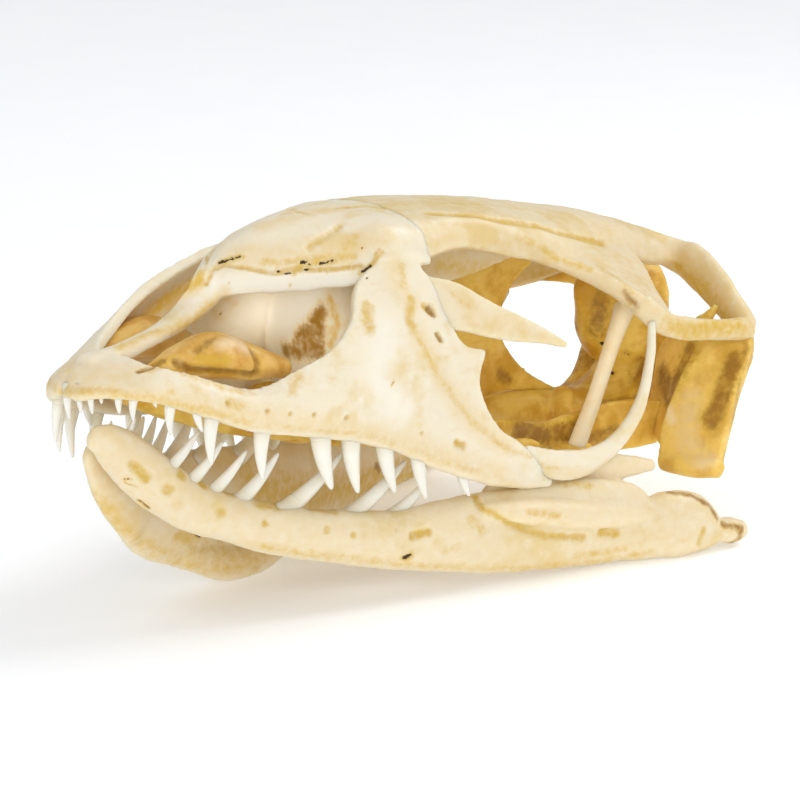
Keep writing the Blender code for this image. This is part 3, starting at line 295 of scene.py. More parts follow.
# Palate of the left side.
VOMER = [
    (5.0, -1.5, 26.2, 0.9, 0.9),
    (14.0, -1.9, 22.8, 1.2, 1.7),
    (24.0, -2.7, 19.8, 1.5, 1.7),
    (33.0, -4.4, 17.0, 2.2, 1.1),
]
PALATINE = [
    (30.0, -4.2, 18.6, 1.8, 0.8),
    (38.0, -6.8, 16.0, 3.4, 0.9),
    (46.0, -8.6, 13.4, 2.6, 0.9),
]
PALATINE_SIDE = [
    (37.5, -8.5, 16.6, 2.2, 0.9),
    (37.2, -12.0, 17.8, 2.0, 0.9),
    (37.4, -14.3, 18.6, 2.6, 1.0),
]
PTERYGOID = [
    (44.0, -8.4, 13.6, 2.2, 0.9),
    (53.0, -10.0, 11.2, 3.4, 1.1),
    (61.0, -9.0, 10.2, 3.4, 1.3),
    (67.0, -9.8, 10.2, 2.0, 1.4),
]
# Upright wing of the pterygoid that runs back to the quadrate, each row upwards.
PTERYGOID_WING = [
    [(47.5, -8.4, 13.2), (47.8, -8.4, 15.0), (48.0, -8.4, 17.0)],
    [(53.0, -9.2, 11.0), (53.2, -9.2, 13.6), (53.4, -9.2, 16.4)],
    [(59.0, -8.8, 9.8), (59.2, -8.8, 12.2), (59.6, -8.8, 14.8)],
    [(66.0, -7.7, 9.2), (66.2, -7.7, 11.8), (66.4, -7.7, 14.4)],
    [(72.0, -9.2, 9.2), (72.4, -9.2, 12.2), (72.6, -9.2, 15.2)],
    [(77.4, -11.8, 9.8), (77.8, -11.8, 12.4), (78.2, -11.8, 15.0)],
]
ECTOPTERYGOID = [
    (53.0, -10.6, 11.6, 2.0, 1.0),
    (50.5, -13.6, 14.4, 1.8, 0.9),
    (49.0, -17.0, 15.3, 2.2, 1.0),
]

# Quadrate plates, bottom to top, each row from the front edge to the rear edge. The
# right one is narrower at the top.
QUADRATE = [
    [(74.2, -15.6, 8.3), (75.2, -19.2, 8.0), (76.6, -22.5, 8.4)],
    [(75.0, -15.0, 12.6), (76.6, -18.8, 12.6), (78.2, -22.5, 12.8)],
    [(77.2, -15.2, 17.4), (78.8, -18.2, 17.6), (80.2, -22.3, 17.8)],
    [(80.0, -15.6, 21.4), (81.4, -18.4, 22.0), (82.8, -21.9, 22.0)],
    [(82.4, -16.4, 24.0), (83.2, -18.8, 24.2), (83.8, -21.0, 24.0)],
]
QUADRATE_RIGHT = [
    [(74.2, 15.6, 8.3), (75.2, 19.2, 8.0), (76.6, 22.5, 8.4)],
    [(75.0, 15.2, 12.6), (76.6, 18.8, 12.6), (78.2, 22.5, 12.8)],
    [(77.0, 16.6, 17.4), (78.6, 19.2, 17.6), (80.2, 22.3, 17.8)],
    [(79.8, 18.6, 21.6), (81.2, 20.2, 22.0), (82.6, 21.9, 22.0)],
    [(82.2, 18.6, 24.0), (83.0, 19.8, 24.2), (83.8, 21.0, 24.0)],
]
# Flange that only the left quadrate keeps on its inner edge, each row upwards.
QUADRATE_FLANGE = [
    [(75.2, -15.4, 10.0), (77.2, -15.2, 16.4), (80.4, -15.8, 22.4), (82.4, -16.8, 27.0)],
    [(76.4, -13.0, 10.6), (78.8, -12.4, 17.0), (80.8, -13.0, 21.8), (81.8, -14.2, 24.9)],
    [(79.4, -9.2, 12.4), (80.4, -8.8, 16.6), (80.9, -9.0, 20.2), (81.2, -10.4, 22.8)],
]
CONDYLE = [
    (74.2, -15.8, 8.9, 1.2, 1.2),
    (75.2, -19.4, 8.7, 1.4, 1.3),
    (76.6, -22.5, 8.9, 1.2, 1.3),
]

# Free bars: x, y, z, half width, half height.
JUGAL = [
    (47.4, -18.5, 15.0, 0.5, 1.3),
    (52.5, -19.5, 13.1, 0.8, 1.8),
    (57.0, -20.1, 13.1, 0.9, 1.5),
    (61.0, -20.6, 14.9, 0.8, 1.1),
    (64.2, -20.8, 18.4, 0.7, 0.85),
    (66.2, -20.4, 23.2, 0.6, 0.6),
    (67.6, -19.4, 27.4, 0.5, 0.4),
]
EPIPTERYGOID_LEFT = [
    (74.6, -8.8, 26.4, 1.3, 1.6),
    (72.6, -9.2, 23.4, 1.0, 1.1),
    (69.0, -9.6, 17.0, 0.9, 1.0),
    (65.2, -10.0, 11.0, 1.1, 1.1),
]
EPIPTERYGOID_RIGHT = [
    (71.2, 8.8, 26.8, 1.3, 1.6),
    (69.8, 9.2, 23.6, 1.0, 1.1),
    (67.2, 9.6, 17.2, 0.9, 1.0),
    (64.8, 10.0, 11.2, 1.1, 1.1),
]
# Palpebral spike: each row runs from its upper edge to its lower edge.
PALPEBRAL = [
    [(39.6, -10.6, 35.4), (39.0, -12.2, 32.6), (39.0, -13.4, 30.0)],
    [(42.3, -12.8, 34.6), (42.2, -14.0, 31.8), (42.0, -14.8, 29.4)],
    [(45.3, -15.8, 32.3), (45.4, -16.4, 30.2), (45.4, -16.9, 28.3)],
    [(49.6, -18.8, 29.6), (49.4, -19.0, 28.6), (49.2, -19.2, 27.7)],
    [(52.0, -20.6, 27.5), (51.9, -20.7, 27.3), (51.8, -20.8, 27.1)],
]
# Left septomaxilla: x, y, z, half width, half height.
SEPTOMAXILLA = [
    (5.6, -4.7, 29.0, 1.0, 0.7),
    (9.4, -5.2, 29.8, 2.5, 1.7),
    (13.4, -5.7, 29.8, 3.6, 2.5),
    (17.2, -6.6, 28.7, 3.2, 2.0),
    (21.4, -8.4, 27.5, 1.3, 0.9),
]

# Lower jaw: x, y, lower edge z, upper edge z, half thickness.
RAMUS_LEFT = [
    (0.2, -1.2, 21.2, 23.6, 0.7),
    (2.2, -1.9, 19.2, 23.6, 1.3),
    (5.0, -3.0, 15.6, 21.4, 1.9),
    (8.0, -4.3, 12.6, 18.4, 2.1),
    (11.0, -5.7, 10.6, 16.2, 2.2),
    (14.0, -6.8, 9.4, 14.8, 2.2),
    (19.0, -8.6, 7.4, 13.0, 2.2),
    (25.0, -10.6, 5.6, 11.6, 2.3),
    (32.0, -12.6, 3.8, 10.4, 2.5),
    (38.0, -14.4, 2.6, 10.7, 2.5),
    (44.0, -16.2, 1.5, 11.1, 2.3),
    (50.0, -17.9, 0.9, 10.9, 2.1),
    (56.0, -19.4, 0.4, 10.9, 2.0),
    (61.0, -20.7, 0.1, 9.8, 2.0),
    (64.2, -21.7, 0.0, 7.2, 2.2),
    (67.0, -22.7, -0.3, 8.0, 2.6),
    (70.0, -23.4, -0.3, 7.3, 2.8),
    (72.6, -24.0, -0.1, 5.2, 2.2),
    (74.2, -24.4, 0.6, 3.7, 1.8),
    (76.2, -24.9, 0.2, 3.4, 1.6),
    (78.0, -25.2, 0.8, 2.7, 0.9),
]
RAMUS_RIGHT = [
    (1.8, 1.1, 18.8, 21.8, 0.7),
    (3.8, 1.6, 15.4, 21.0, 1.2),
    (6.2, 2.3, 11.8, 19.8, 1.7),
    (8.8, 3.3, 9.0, 18.4, 1.9),
    (11.0, 4.3, 6.8, 17.6, 2.0),
    (14.0, 4.9, 4.8, 17.0, 2.1),
    (18.0, 5.6, 3.0, 16.4, 2.2),
    (24.0, 6.8, 0.6, 15.4, 2.3),
    (30.0, 8.6, -0.3, 14.4, 2.5),
    (37.0, 11.0, -0.3, 13.2, 2.6),
    (44.0, 13.8, -0.3, 12.2, 2.5),
    (50.0, 16.2, -0.3, 11.2, 2.3),
    (56.0, 18.3, -0.3, 10.3, 2.4),
    (61.0, 20.0, -0.3, 9.4, 2.3),
    (64.2, 21.3, -0.3, 7.0, 2.3),
    (67.0, 22.4, -0.3, 8.0, 2.6),
    (70.0, 23.2, -0.3, 7.3, 2.8),
    (72.6, 23.9, -0.1, 5.2, 2.2),
    (74.2, 24.3, 0.3, 3.5, 1.8),
    (76.2, 24.8, -0.2, 3.1, 1.6),
    (78.0, 25.2, 0.5, 2.3, 0.9),
]
# Hump and side swelling of the left ramus: x, y, z, half width, half height.
CORONOID = [
    (45.0, -15.2, 10.0, 1.0, 1.2),
    (51.5, -16.4, 11.4, 1.0, 2.2),
    (57.0, -17.7, 11.6, 1.0, 2.2),
    (62.0, -19.6, 11.2, 1.0, 1.5),
    (66.2, -21.2, 10.9, 0.7, 0.7),
]
LENS = [
    (42.0, -16.9, 9.2, 1.6, 1.1),
    (48.0, -18.9, 8.5, 2.0, 1.6),
    (54.0, -20.6, 7.3, 2.0, 1.7),
    (60.0, -22.0, 6.3, 1.6, 1.4),
    (64.4, -22.8, 5.7, 0.9, 0.8),
]

# Keel along the inner lower edge of the right ramus: x, y, z, half width, half height.
CHIN_KEEL = [
    (17.0, 4.8, 5.0, 1.2, 1.7),
    (23.0, 5.0, 2.4, 1.3, 2.0),
    (27.0, 5.3, 1.7, 1.4, 1.9),
    (31.0, 6.6, 1.6, 1.4, 1.8),
    (35.5, 8.8, 1.7, 1.2, 1.7),
]

# Teeth: base point, tip point, radius at the base.
UPPER_TEETH = [
    ((-2.2, -1.0, 27.9), (-2.3, -1.1, 24.6), 0.6),
    ((-1.7, -2.4, 28.1), (-1.9, -2.6, 25.5), 0.55),
    ((-1.0, -3.4, 28.1), (-1.2, -3.6, 25.4), 0.55),
    ((-0.2, -4.3, 28.2), (-0.7, -4.5, 26.6), 0.5),
    ((1.1, -5.5, 28.1), (0.7, -5.7, 25.5), 0.65),
    ((2.2, -6.6, 27.6), (1.6, -6.8, 24.8), 0.65),
    ((3.8, -7.9, 27.3), (3.7, -8.0, 26.1), 0.5),
    ((5.4, -8.6, 26.6), (4.9, -8.8, 23.0), 0.75),
    ((7.7, -9.9, 25.7), (8.3, -9.9, 23.0), 0.65),
    ((9.6, -10.3, 25.0), (9.1, -10.3, 19.3), 1.0),
    ((15.5, -11.5, 22.6), (15.4, -11.2, 16.8), 1.1),
    ((22.5, -12.8, 21.3), (24.2, -12.4, 14.2), 1.4),
    ((26.3, -13.5, 20.4), (27.4, -13.1, 13.3), 1.3),
    ((30.4, -14.3, 19.4), (32.1, -14.0, 12.6), 1.25),
    ((34.5, -15.3, 17.4), (35.6, -15.3, 11.5), 1.1),
    ((40.0, -16.7, 14.2), (40.3, -17.3, 11.3), 0.85),
]
# Longer front teeth of the right premaxilla.
RIGHT_FRONT_TEETH = [
    ((-1.4, 2.6, 26.4), (-1.7, 3.0, 21.4), 0.75),
    ((-0.2, 3.9, 26.0), (-0.3, 4.3, 19.8), 0.8),
    ((2.0, 5.3, 25.2), (2.4, 5.5, 18.4), 0.8),
]
# How far the right tooth row hangs below the left one: x and drop.
RIGHT_DROP = [
    (3.0, 2.9), (6.5, 3.0), (10.0, 2.7), (14.5, 2.1), (21.0, 1.7), (27.0, 1.1), (32.0, 0.5), (37.0, 0.0),
]
LOWER_TEETH = [
    ((3.4, -2.6, 21.4), (4.9, -3.0, 23.9), 0.55),
    ((7.3, -5.2, 18.2), (10.8, -6.2, 21.9), 0.8),
    ((9.4, -6.0, 16.4), (13.3, -7.2, 20.5), 0.85),
    ((11.8, -7.0, 15.2), (15.8, -8.2, 19.3), 0.85),
    ((14.8, -8.0, 13.9), (19.6, -9.0, 18.5), 1.0),
    ((20.1, -9.6, 12.3), (27.5, -10.4, 17.2), 1.15),
    ((27.4, -11.6, 10.4), (35.3, -12.4, 15.4), 1.15),
    ((32.9, -13.0, 9.8), (37.2, -13.6, 12.9), 1.0),
]

# Stains, pits and creases, with some painted shade, a painted highlight and painted glow, seen from the
# viewpoint, by the bone they lie on.
# Each is: tint, radius in millimetres, depth in millimetres (negative sinks in), strength, and one or more
# courses in pixels.
MARKS = {
    "snout": [
        ("gold", 3.0, 0.0, 0.55, [(70, 380), (100, 372), (130, 378)]),
        ("gold", 2.2, 0.0, 0.6, [(64, 392), (110, 394), (160, 400), (205, 410)]),
        ("gold", 2.4, 0.0, 0.55, [(225, 410), (300, 424), (380, 434), (430, 452), (500, 476)]),
        ("gold", 2.2, 0.0, 0.5, [(420, 335), (438, 375), (466, 415), (505, 446)]),
        ("gold", 2.6, 0.0, 0.6, [(240, 256), (290, 252), (340, 246), (385, 236)]),
        ("gold", 2.0, 0.0, 0.6, [(262, 226), (300, 214), (345, 206)]),
        ("gold", 2.4, 0.0, 0.6, [(395, 262), (398, 284), (412, 300)]),
        ("gold", 2.8, 0.0, 0.9, [(150, 312), (170, 296), (195, 284), (150, 325)]),
        ("gold", 1.2, 0.0, 0.7, [(118, 348), (150, 334), (190, 324), (212, 304), (225, 292)]),
        ("ochre", 0.5, -0.22, 0.9, [(206, 284), (212, 270), (224, 265), (246, 268), (275, 274), (300, 270),
         (330, 270), (362, 266)]),
        ("pale", 2.0, 0.0, 0.9, [(215, 285), (250, 282), (300, 282), (345, 279)]),
        # Painted light: this pale patch and the next glow brighten the inner wall of the left naris, and the
        # glow after them the inner wall of the right maxilla, which lie in shade.
        ("pale", 4.5, 0.0, 1.0, [(255, 310), (290, 310), (310, 300)]),
        ("glow", 6.0, 0.0, 0.9, [(245, 315), (270, 312), (295, 312), (320, 315), (335, 330), (300, 340)]),
        ("glow", 3.5, 0.0, 0.7, [(150, 320), (175, 300), (195, 285)]),
        ("pale", 3.6, 0.0, 0.8, [(385, 330), (378, 380), (400, 410)]),
        # Painted shadow: this brown patch darkens the deep, unlit back of the nasal cavity.
        ("brown", 1.5, 0.0, 1.0, [(286, 351), (318, 351), (318, 342), (297, 342), (306, 332), (319, 332),
         (319, 321), (315, 322), (321, 312)]),
        ("ochre", 1.0, 0.0, 0.8, [(330, 300), (338, 325), (330, 345)]),
        ("ochre", 0.6, 0.0, 0.8, [(214, 268), (226, 262), (242, 257)], [(360, 273), (372, 264),
         (382, 252)]),
        ("ochre", 0.7, 0.0, 0.8, [(284, 271), (310, 264), (336, 261)]),
        ("ochre", 1.0, 0.0, 0.55, [(60, 392), (98, 391), (150, 398), (209, 412), (252, 424)]),
        ("ochre", 0.9, 0.0, 0.4, [(252, 426), (311, 430), (372, 436), (431, 458), (477, 471)]),
        ("ochre", 0.55, -0.35, 0.9, [(228, 403)], [(268, 411)], [(347, 418)]),
        ("ochre", 0.5, -0.35, 0.9, [(291, 414)], [(315, 415)]),
        ("ochre", 0.85, -0.4, 0.9, [(458, 443), (464, 446)]),
        ("ochre", 0.5, -0.15, 0.7, [(422, 433)]),
        ("ochre", 1.3, 0.0, 0.5, [(231, 402), (240, 406)]),
        ("ochre", 1.3, 0.0, 0.45, [(298, 377), (292, 392)]),
        ("ochre", 1.3, 0.0, 0.35, [(333, 380)]),
        ("ochre", 1.0, 0.0, 0.35, [(168, 377), (172, 392)]),
        ("ochre", 1.5, 0.0, 0.75, [(367, 308), (369, 328)]),
        ("ochre", 1.2, 0.0, 0.7, [(412, 300), (409, 318), (414, 332)]),
        ("ochre", 1.1, 0.0, 0.5, [(402, 268), (404, 286)], [(120, 347), (150, 333), (193, 323),
         (210, 304)]),
        ("ochre", 1.2, 0.0, 0.45, [(356, 236), (346, 248)]),
        ("ochre", 0.8, -0.2, 0.6, [(340, 226), (326, 236), (309, 247)]),
        ("ochre", 0.6, -0.1, 0.5, [(281, 214), (295, 211), (307, 214)]),
        ("ochre", 0.7, -0.1, 0.6, [(336, 208), (365, 206), (395, 209), (423, 212)]),
        ("ochre", 0.9, 0.0, 0.6, [(262, 262), (290, 262), (320, 258), (352, 256)]),
        ("ochre", 2.6, 0.0, 0.85, [(146, 316), (160, 304), (178, 292), (198, 280)]),
        ("ochre", 0.9, 0.0, 0.55, [(150, 371), (163, 366), (195, 378), (230, 390), (252, 394)]),
        ("ochre", 0.9, 0.0, 0.45, [(420, 340), (440, 380), (470, 420), (505, 448), (530, 456)]),
        ("ochre", 0.8, -0.25, 0.8, [(424, 306), (430, 312)]),
        ("brown", 0.7, -0.35, 0.9, [(430, 308), (434, 314)]),
        ("brown", 0.5, -0.35, 0.9, [(437, 334), (441, 340)]),
        ("dark", 0.2, -0.25, 1.0, [(219, 263), (226, 260), (233, 258), (240, 256)]),
        ("dark", 0.15, -0.1, 0.9, [(276, 271), (285, 273), (295, 274)]),
        ("dark", 0.2, -0.2, 1.0, [(302, 262), (311, 264)]),
        ("dark", 0.24, -0.25, 1.0, [(321, 263), (333, 261)], [(363, 271), (367, 268), (370, 266)]),
        ("dark", 0.14, -0.1, 0.9, [(305, 270), (309, 269)], [(323, 270), (327, 272)]),
        ("dark", 0.12, -0.05, 0.9, [(362, 248)]),
        ("dark", 0.14, -0.05, 0.9, [(379, 250), (376, 254)]),
        ("dark", 0.12, 0.0, 0.9, [(367, 278)]),
        ("dark", 0.13, 0.0, 0.9, [(209, 277)], [(229, 283)], [(290, 285)]),
        ("dark", 0.16, 0.0, 1.0, [(221, 313)]),
        ("dark", 0.12, 0.0, 1.0, [(394, 381), (392, 385)]),
        ("brown", 0.5, -0.3, 1.0, [(138, 371), (146, 369), (154, 366), (161, 360)]),
        ("ochre", 0.9, 0.0, 0.5, [(330, 300), (334, 322), (322, 352)]),
    ],
    "skull_roof": [
        ("gold", 2.4, 0.0, 0.6, [(435, 206), (500, 208), (560, 216), (610, 232)]),
        ("gold", 2.0, 0.0, 0.7, [(430, 244), (450, 236), (500, 240), (560, 256), (610, 276)]),
        ("gold", 2.6, 0.0, 1.0, [(672, 262), (694, 266), (718, 290), (736, 312)]),
        ("gold", 2.2, 0.0, 1.0, [(672, 326), (700, 330), (740, 328)]),
        ("ochre", 1.8, 0.0, 0.8, [(690, 334), (715, 326), (738, 322)]),
        ("ochre", 0.8, -0.25, 0.9, [(427, 213), (472, 215), (502, 221), (538, 226), (564, 234),
         (604, 244)]),
        ("pale", 0.8, 0.15, 0.6, [(432, 222), (444, 220), (482, 221), (513, 231), (538, 247)]),
        ("ochre", 0.9, 0.0, 0.6, [(518, 236), (540, 247), (559, 259), (590, 268)]),
        ("ochre", 1.0, 0.0, 0.5, [(599, 267), (620, 280), (635, 293)]),
        ("brown", 0.8, 0.0, 0.6, [(625, 293), (636, 306)]),
        ("pale", 1.5, 0.0, 0.7, [(655, 244), (668, 252)]),
        ("ochre", 1.3, 0.0, 0.8, [(678, 267), (690, 276), (704, 300), (716, 312)]),
        ("ochre", 0.5, 0.0, 0.5, [(440, 203), (480, 204), (530, 210)]),
        ("gold", 3.0, 0.0, 0.9, [(440, 262), (480, 268), (520, 262)]),
        ("ochre", 2.2, 0.0, 0.5, [(440, 266), (480, 272)]),
        ("ochre", 2.4, 0.0, 0.6, [(684, 272), (706, 292), (728, 318)]),
        ("ochre", 2.2, 0.0, 0.6, [(668, 326), (700, 334), (742, 326)]),
    ],
    "septomaxilla_left": [
        ("brown", 0.9, -0.35, 0.9, [(176, 362), (190, 370), (215, 372), (240, 374), (255, 376)]),
        ("brown", 0.8, -0.3, 0.8, [(252, 350), (258, 362), (256, 376)]),
        ("brown", 0.8, -0.2, 0.8, [(152, 366), (162, 360)]),
        # Painted highlight: a pale spot on the top of the dome.
        ("pale", 1.6, 0.1, 0.35, [(222, 344), (236, 340), (244, 348)]),
        ("brown", 1.0, -0.25, 0.6, [(196, 350), (212, 338)]),
        ("ochre", 1.2, 0.0, 0.8, [(200, 360), (226, 360)]),
    ],
    "mandible_left": [
        ("gold", 2.4, 0.0, 0.6, [(110, 432), (140, 462), (190, 492), (250, 512)], [(480, 500), (520, 528),
         (580, 538), (640, 530), (690, 536)]),
        ("gold", 2.2, 0.0, 0.65, [(250, 544), (320, 556), (420, 566), (520, 568), (640, 556)]),
        ("gold", 1.6, 0.0, 0.7, [(660, 496), (700, 506), (720, 524), (738, 534)]),
        ("ochre", 0.95, -0.45, 1.0, [(414, 536), (428, 533)]),
        ("dark", 0.4, -0.35, 1.0, [(405, 558), (410, 556)]),
        ("ochre", 0.7, -0.2, 0.7, [(94, 456), (95, 466)]),
        ("ochre", 1.1, -0.2, 1.0, [(133, 466), (140, 471), (146, 477)]),
        ("ochre", 1.2, -0.2, 0.95, [(168, 490)]),
        ("ochre", 1.0, -0.2, 0.9, [(221, 513)]),
        ("ochre", 0.8, -0.2, 0.9, [(265, 523)]),
        ("ochre", 0.8, -0.15, 0.8, [(327, 530)]),
        ("ochre", 0.75, -0.15, 0.8, [(354, 535)]),
        ("ochre", 0.5, -0.15, 0.6, [(397, 530)]),
        ("brown", 0.35, -0.2, 0.9, [(139, 501), (148, 508)]),
        ("dark", 0.1, 0.0, 0.9, [(131, 479), (122, 479), (126, 483), (137, 487)]),
        ("ochre", 0.8, -0.25, 0.8, [(474, 493), (480, 506), (507, 523), (546, 536), (584, 538)]),
        ("ochre", 0.9, 0.0, 0.6, [(530, 512), (545, 514), (558, 515)]),
        ("ochre", 1.1, -0.3, 0.9, [(602, 532), (616, 534)]),
        ("ochre", 1.0, 0.0, 0.5, [(575, 556), (600, 553), (625, 549)]),
        ("ochre", 1.0, 0.0, 0.4, [(445, 552), (458, 547)]),
        ("ochre", 1.2, 0.0, 0.5, [(472, 520), (484, 532)], [(560, 482), (590, 486)]),
        ("brown", 0.7, 0.0, 0.8, [(668, 492), (690, 495), (709, 505), (717, 518)], [(722, 524), (742, 528),
         (740, 538), (724, 547)]),
        ("ochre", 0.9, -0.15, 0.8, [(704, 530), (700, 542)]),
        ("ochre", 1.2, -0.2, 1.0, [(182, 474)], [(203, 484)]),
        ("ochre", 1.4, -0.2, 1.0, [(229, 492), (236, 493)]),
        ("ochre", 1.5, -0.2, 1.0, [(260, 502), (276, 504)]),
        ("ochre", 1.5, -0.1, 0.8, [(310, 508), (332, 510)]),
        ("ochre", 1.2, 0.0, 0.42, [(262, 547), (330, 557), (430, 567), (520, 569), (600, 562), (650, 552)]),
    ],
    "mandible_right": [
        ("gold", 2.6, 0.0, 0.7, [(100, 470), (112, 505), (150, 540), (210, 562), (262, 560)]),
        ("ochre", 1.4, 0.0, 0.6, [(250, 492), (272, 500), (290, 505)]),
        ("ochre", 1.6, 0.0, 0.8, [(340, 490), (370, 474), (398, 464)]),
        ("brown", 0.9, 0.0, 0.8, [(376, 466), (380, 470)]),
        ("ochre", 1.2, 0.0, 0.7, [(124, 452), (160, 478), (196, 500)]),
        ("ochre", 1.4, 0.0, 0.7, [(178, 536), (190, 540)]),
        ("dark", 0.35, -0.2, 1.0, [(193, 532), (201, 535)]),
        ("ochre", 1.2, 0.0, 0.5, [(225, 550), (245, 556)]),
        ("ochre", 1.8, 0.0, 0.5, [(96, 496), (122, 530), (160, 554), (205, 570), (255, 568)]),
        ("ochre", 2.6, 0.0, 0.5, [(195, 545), (232, 552), (262, 554)]),
        ("gold", 5.0, 0.0, 0.95, [(215, 452), (260, 478), (310, 490), (360, 482), (420, 470)]),
        ("ochre", 4.0, 0.0, 0.7, [(250, 486), (310, 494), (370, 484), (420, 468)]),
    ],
    "palate_left": [
        ("brown", 2.4, 0.0, 0.9, [(520, 430), (545, 436), (575, 430)]),
        ("brown", 1.6, 0.0, 0.7, [(590, 440), (615, 430)]),
        ("pale", 2.0, 0.0, 0.7, [(520, 400), (540, 410), (552, 400)]),
        # Painted glow: lights the palate in the shade under the skull.
        ("glow", 4.0, 0.0, 0.2, [(520, 400), (560, 420), (620, 440)]),
    ],
    "braincase": [
        # Partly the bone's own brown, partly painted shade in the deep hollow between braincase and quadrate.
        ("brown", 2.6, 0.0, 0.9, [(640, 372), (652, 392), (640, 410)]),
        ("brown", 2.0, 0.0, 0.7, [(600, 300), (596, 330)]),
        # Painted glow: lights the braincase in the shade behind the orbit.
        ("glow", 5.0, 0.0, 0.15, [(640, 330), (620, 350), (640, 400), (600, 300)]),
        # This patch and the next: partly brown bone, partly painted shade of the same hollow.
        ("brown", 2.3, 0.0, 1.0, [(652, 372), (664, 384), (674, 398)]),
        ("brown", 1.4, 0.0, 0.8, [(683, 322), (690, 340), (670, 352)]),
        ("dark", 0.5, -0.3, 0.7, [(602, 344)], [(612, 372)]),
        ("dark", 0.9, -0.2, 0.5, [(627, 354)]),
        # Partly brown bone, partly painted shade: the darkest hollow under the braincase.
        ("brown", 2.0, 0.0, 1.0, [(606, 408), (625, 402), (644, 420), (612, 436)]),
    ],
    "quadrate_left": [
        # Partly brown bone, partly painted shade on the quadrate's inner hollow.
        ("brown", 2.3, 0.0, 0.95, [(662, 374), (670, 396), (690, 350)]),
        ("ochre", 2.4, 0.0, 0.8, [(680, 330), (705, 330), (725, 335)]),
        ("gold", 3.0, 0.0, 0.8, [(690, 400), (685, 440), (700, 460)]),
        # Painted glow: lights the quadrate's shaded inner side.
        ("glow", 5.0, 0.0, 0.2, [(690, 400), (685, 440), (700, 460), (720, 360), (680, 350)]),
        ("brown", 1.9, 0.0, 1.0, [(734, 360), (729, 375), (720, 400), (712, 421)]),
        ("brown", 1.0, 0.0, 0.5, [(746, 345), (740, 380), (733, 420)]),
        ("pale", 1.0, 0.0, 0.5, [(668, 408), (672, 420)]),
        ("pale", 1.2, 0.0, 0.4, [(702, 462), (712, 460)]),
    ],
    "epipterygoid_left": [
        # Painted glow: lights the rod, which lies in shade.
        ("glow", 1.8, 0.0, 0.6, [(620, 320), (604, 360), (588, 400), (572, 440)]),
    ],
    "palpebral_left": [
        ("gold", 2.0, 0.0, 0.5, [(450, 285), (480, 315), (520, 335)]),
        ("ochre", 1.0, 0.0, 0.4, [(450, 292), (470, 305)]),
    ],
    "jugal_left": [
        ("gold", 1.2, 0.0, 0.5, [(540, 470), (590, 474), (625, 450), (645, 400)]),
        ("ochre", 0.6, -0.1, 0.5, [(530, 458), (545, 466), (560, 470)]),
    ],
    "septum": [
        ("brown", 1.4, 0.0, 0.8, [(500, 374), (508, 380)]),
    ],
}

# Marks farther left than this line, in millimetres, come again on the other side, fainter, where that
# side's bone is no farther off than the gap.
ECHO_LINE = -1.0
ECHO_GAP = 3.0
ECHO_STRENGTH = 0.8

# Least share of a spot's facing that a vertex needs to be tinted with it.
FACING = 0.15

# Softer rings round the small dark marks: tint, how many times wider, strength.
HALOS = {
    "dark": (("brown", 1.6, 0.5), ("ochre", 3.0, 0.8)),
    "brown": (("ochre", 1.6, 0.7),),
}

def spline(points, per):
    """Samples a smooth curve through the points, each any number of values."""
    rows = np.array(points, float)
    ends = np.vstack([2 * rows[0] - rows[1], rows, 2 * rows[-1] - rows[-2]])
    out = []
    for i in range(1, len(ends) - 2):
        a, b, c, d = ends[i - 1], ends[i], ends[i + 1], ends[i + 2]
        for step in range(per):
            t = step / per
            out.append(
                0.5 * (2 * b + (c - a) * t + (2 * a - 5 * b + 4 * c - d) * t * t
                       + (3 * b - a - 3 * c + d) * t ** 3)
            )
    out.append(rows[-1])
    return np.array(out)


def same(points):
    """The points as they are, for the left side."""
    return list(points)


def mirrored(points):
    """The same points on the animal's other side."""
    return [(p[0], -p[1]) + tuple(p[2:]) for p in points]


def add_bar(mesh, points, per=8, ring=24):
    """Sweeps an ellipse along the points: x, y, z, half width, half height."""
    rows = spline(points, per)
    centres = rows[:, :3]
    tangents = np.gradient(centres, axis=0)
    rings = []
    for centre, tangent, row in zip(centres, tangents, rows):
        along = Vector(tangent).normalized()
        side = along.cross(Vector((0, 0, 1)))
        if side.length < STEEP:
            side = along.cross(Vector((-1, 0, 0)))
        side.normalize()
        up = side.cross(along)
        rings.append([
            mesh.verts.new(
                Vector(centre)
                + side * max(row[3], THINNEST) * math.cos(2 * math.pi * k / ring)
                + up * max(row[4], THINNEST) * math.sin(2 * math.pi * k / ring)
            )
            for k in range(ring)
        ])
    for first, second in zip(rings, rings[1:]):
        for k in range(ring):
            n = (k + 1) % ring
            mesh.faces.new((first[k], first[n], second[n], second[k]))
    for end, row, sign in ((rings[0], rows[0], -1), (rings[-1], rows[-1], 1)):
        tangent = Vector(tangents[0 if sign < 0 else -1]).normalized()
        tip = mesh.verts.new(Vector(row[:3]) + tangent * sign * CAP * min(row[3], row[4]))
        for k in range(ring):
            n = (k + 1) % ring
            corners = (end[n], end[k], tip) if sign < 0 else (end[k], end[n], tip)
            mesh.faces.new(corners)


def add_ramus(mesh, stations):
    """A jaw ramus from its lower and upper edges and its thickness."""
    add_bar(mesh, [(x, y, (low + top) / 2, w, (top - low) / 2) for x, y, low, top, w in stations])


def evaluated_mesh(obj):
    graph = bpy.context.evaluated_depsgraph_get()
    return bpy.data.meshes.new_from_object(obj.evaluated_get(graph))


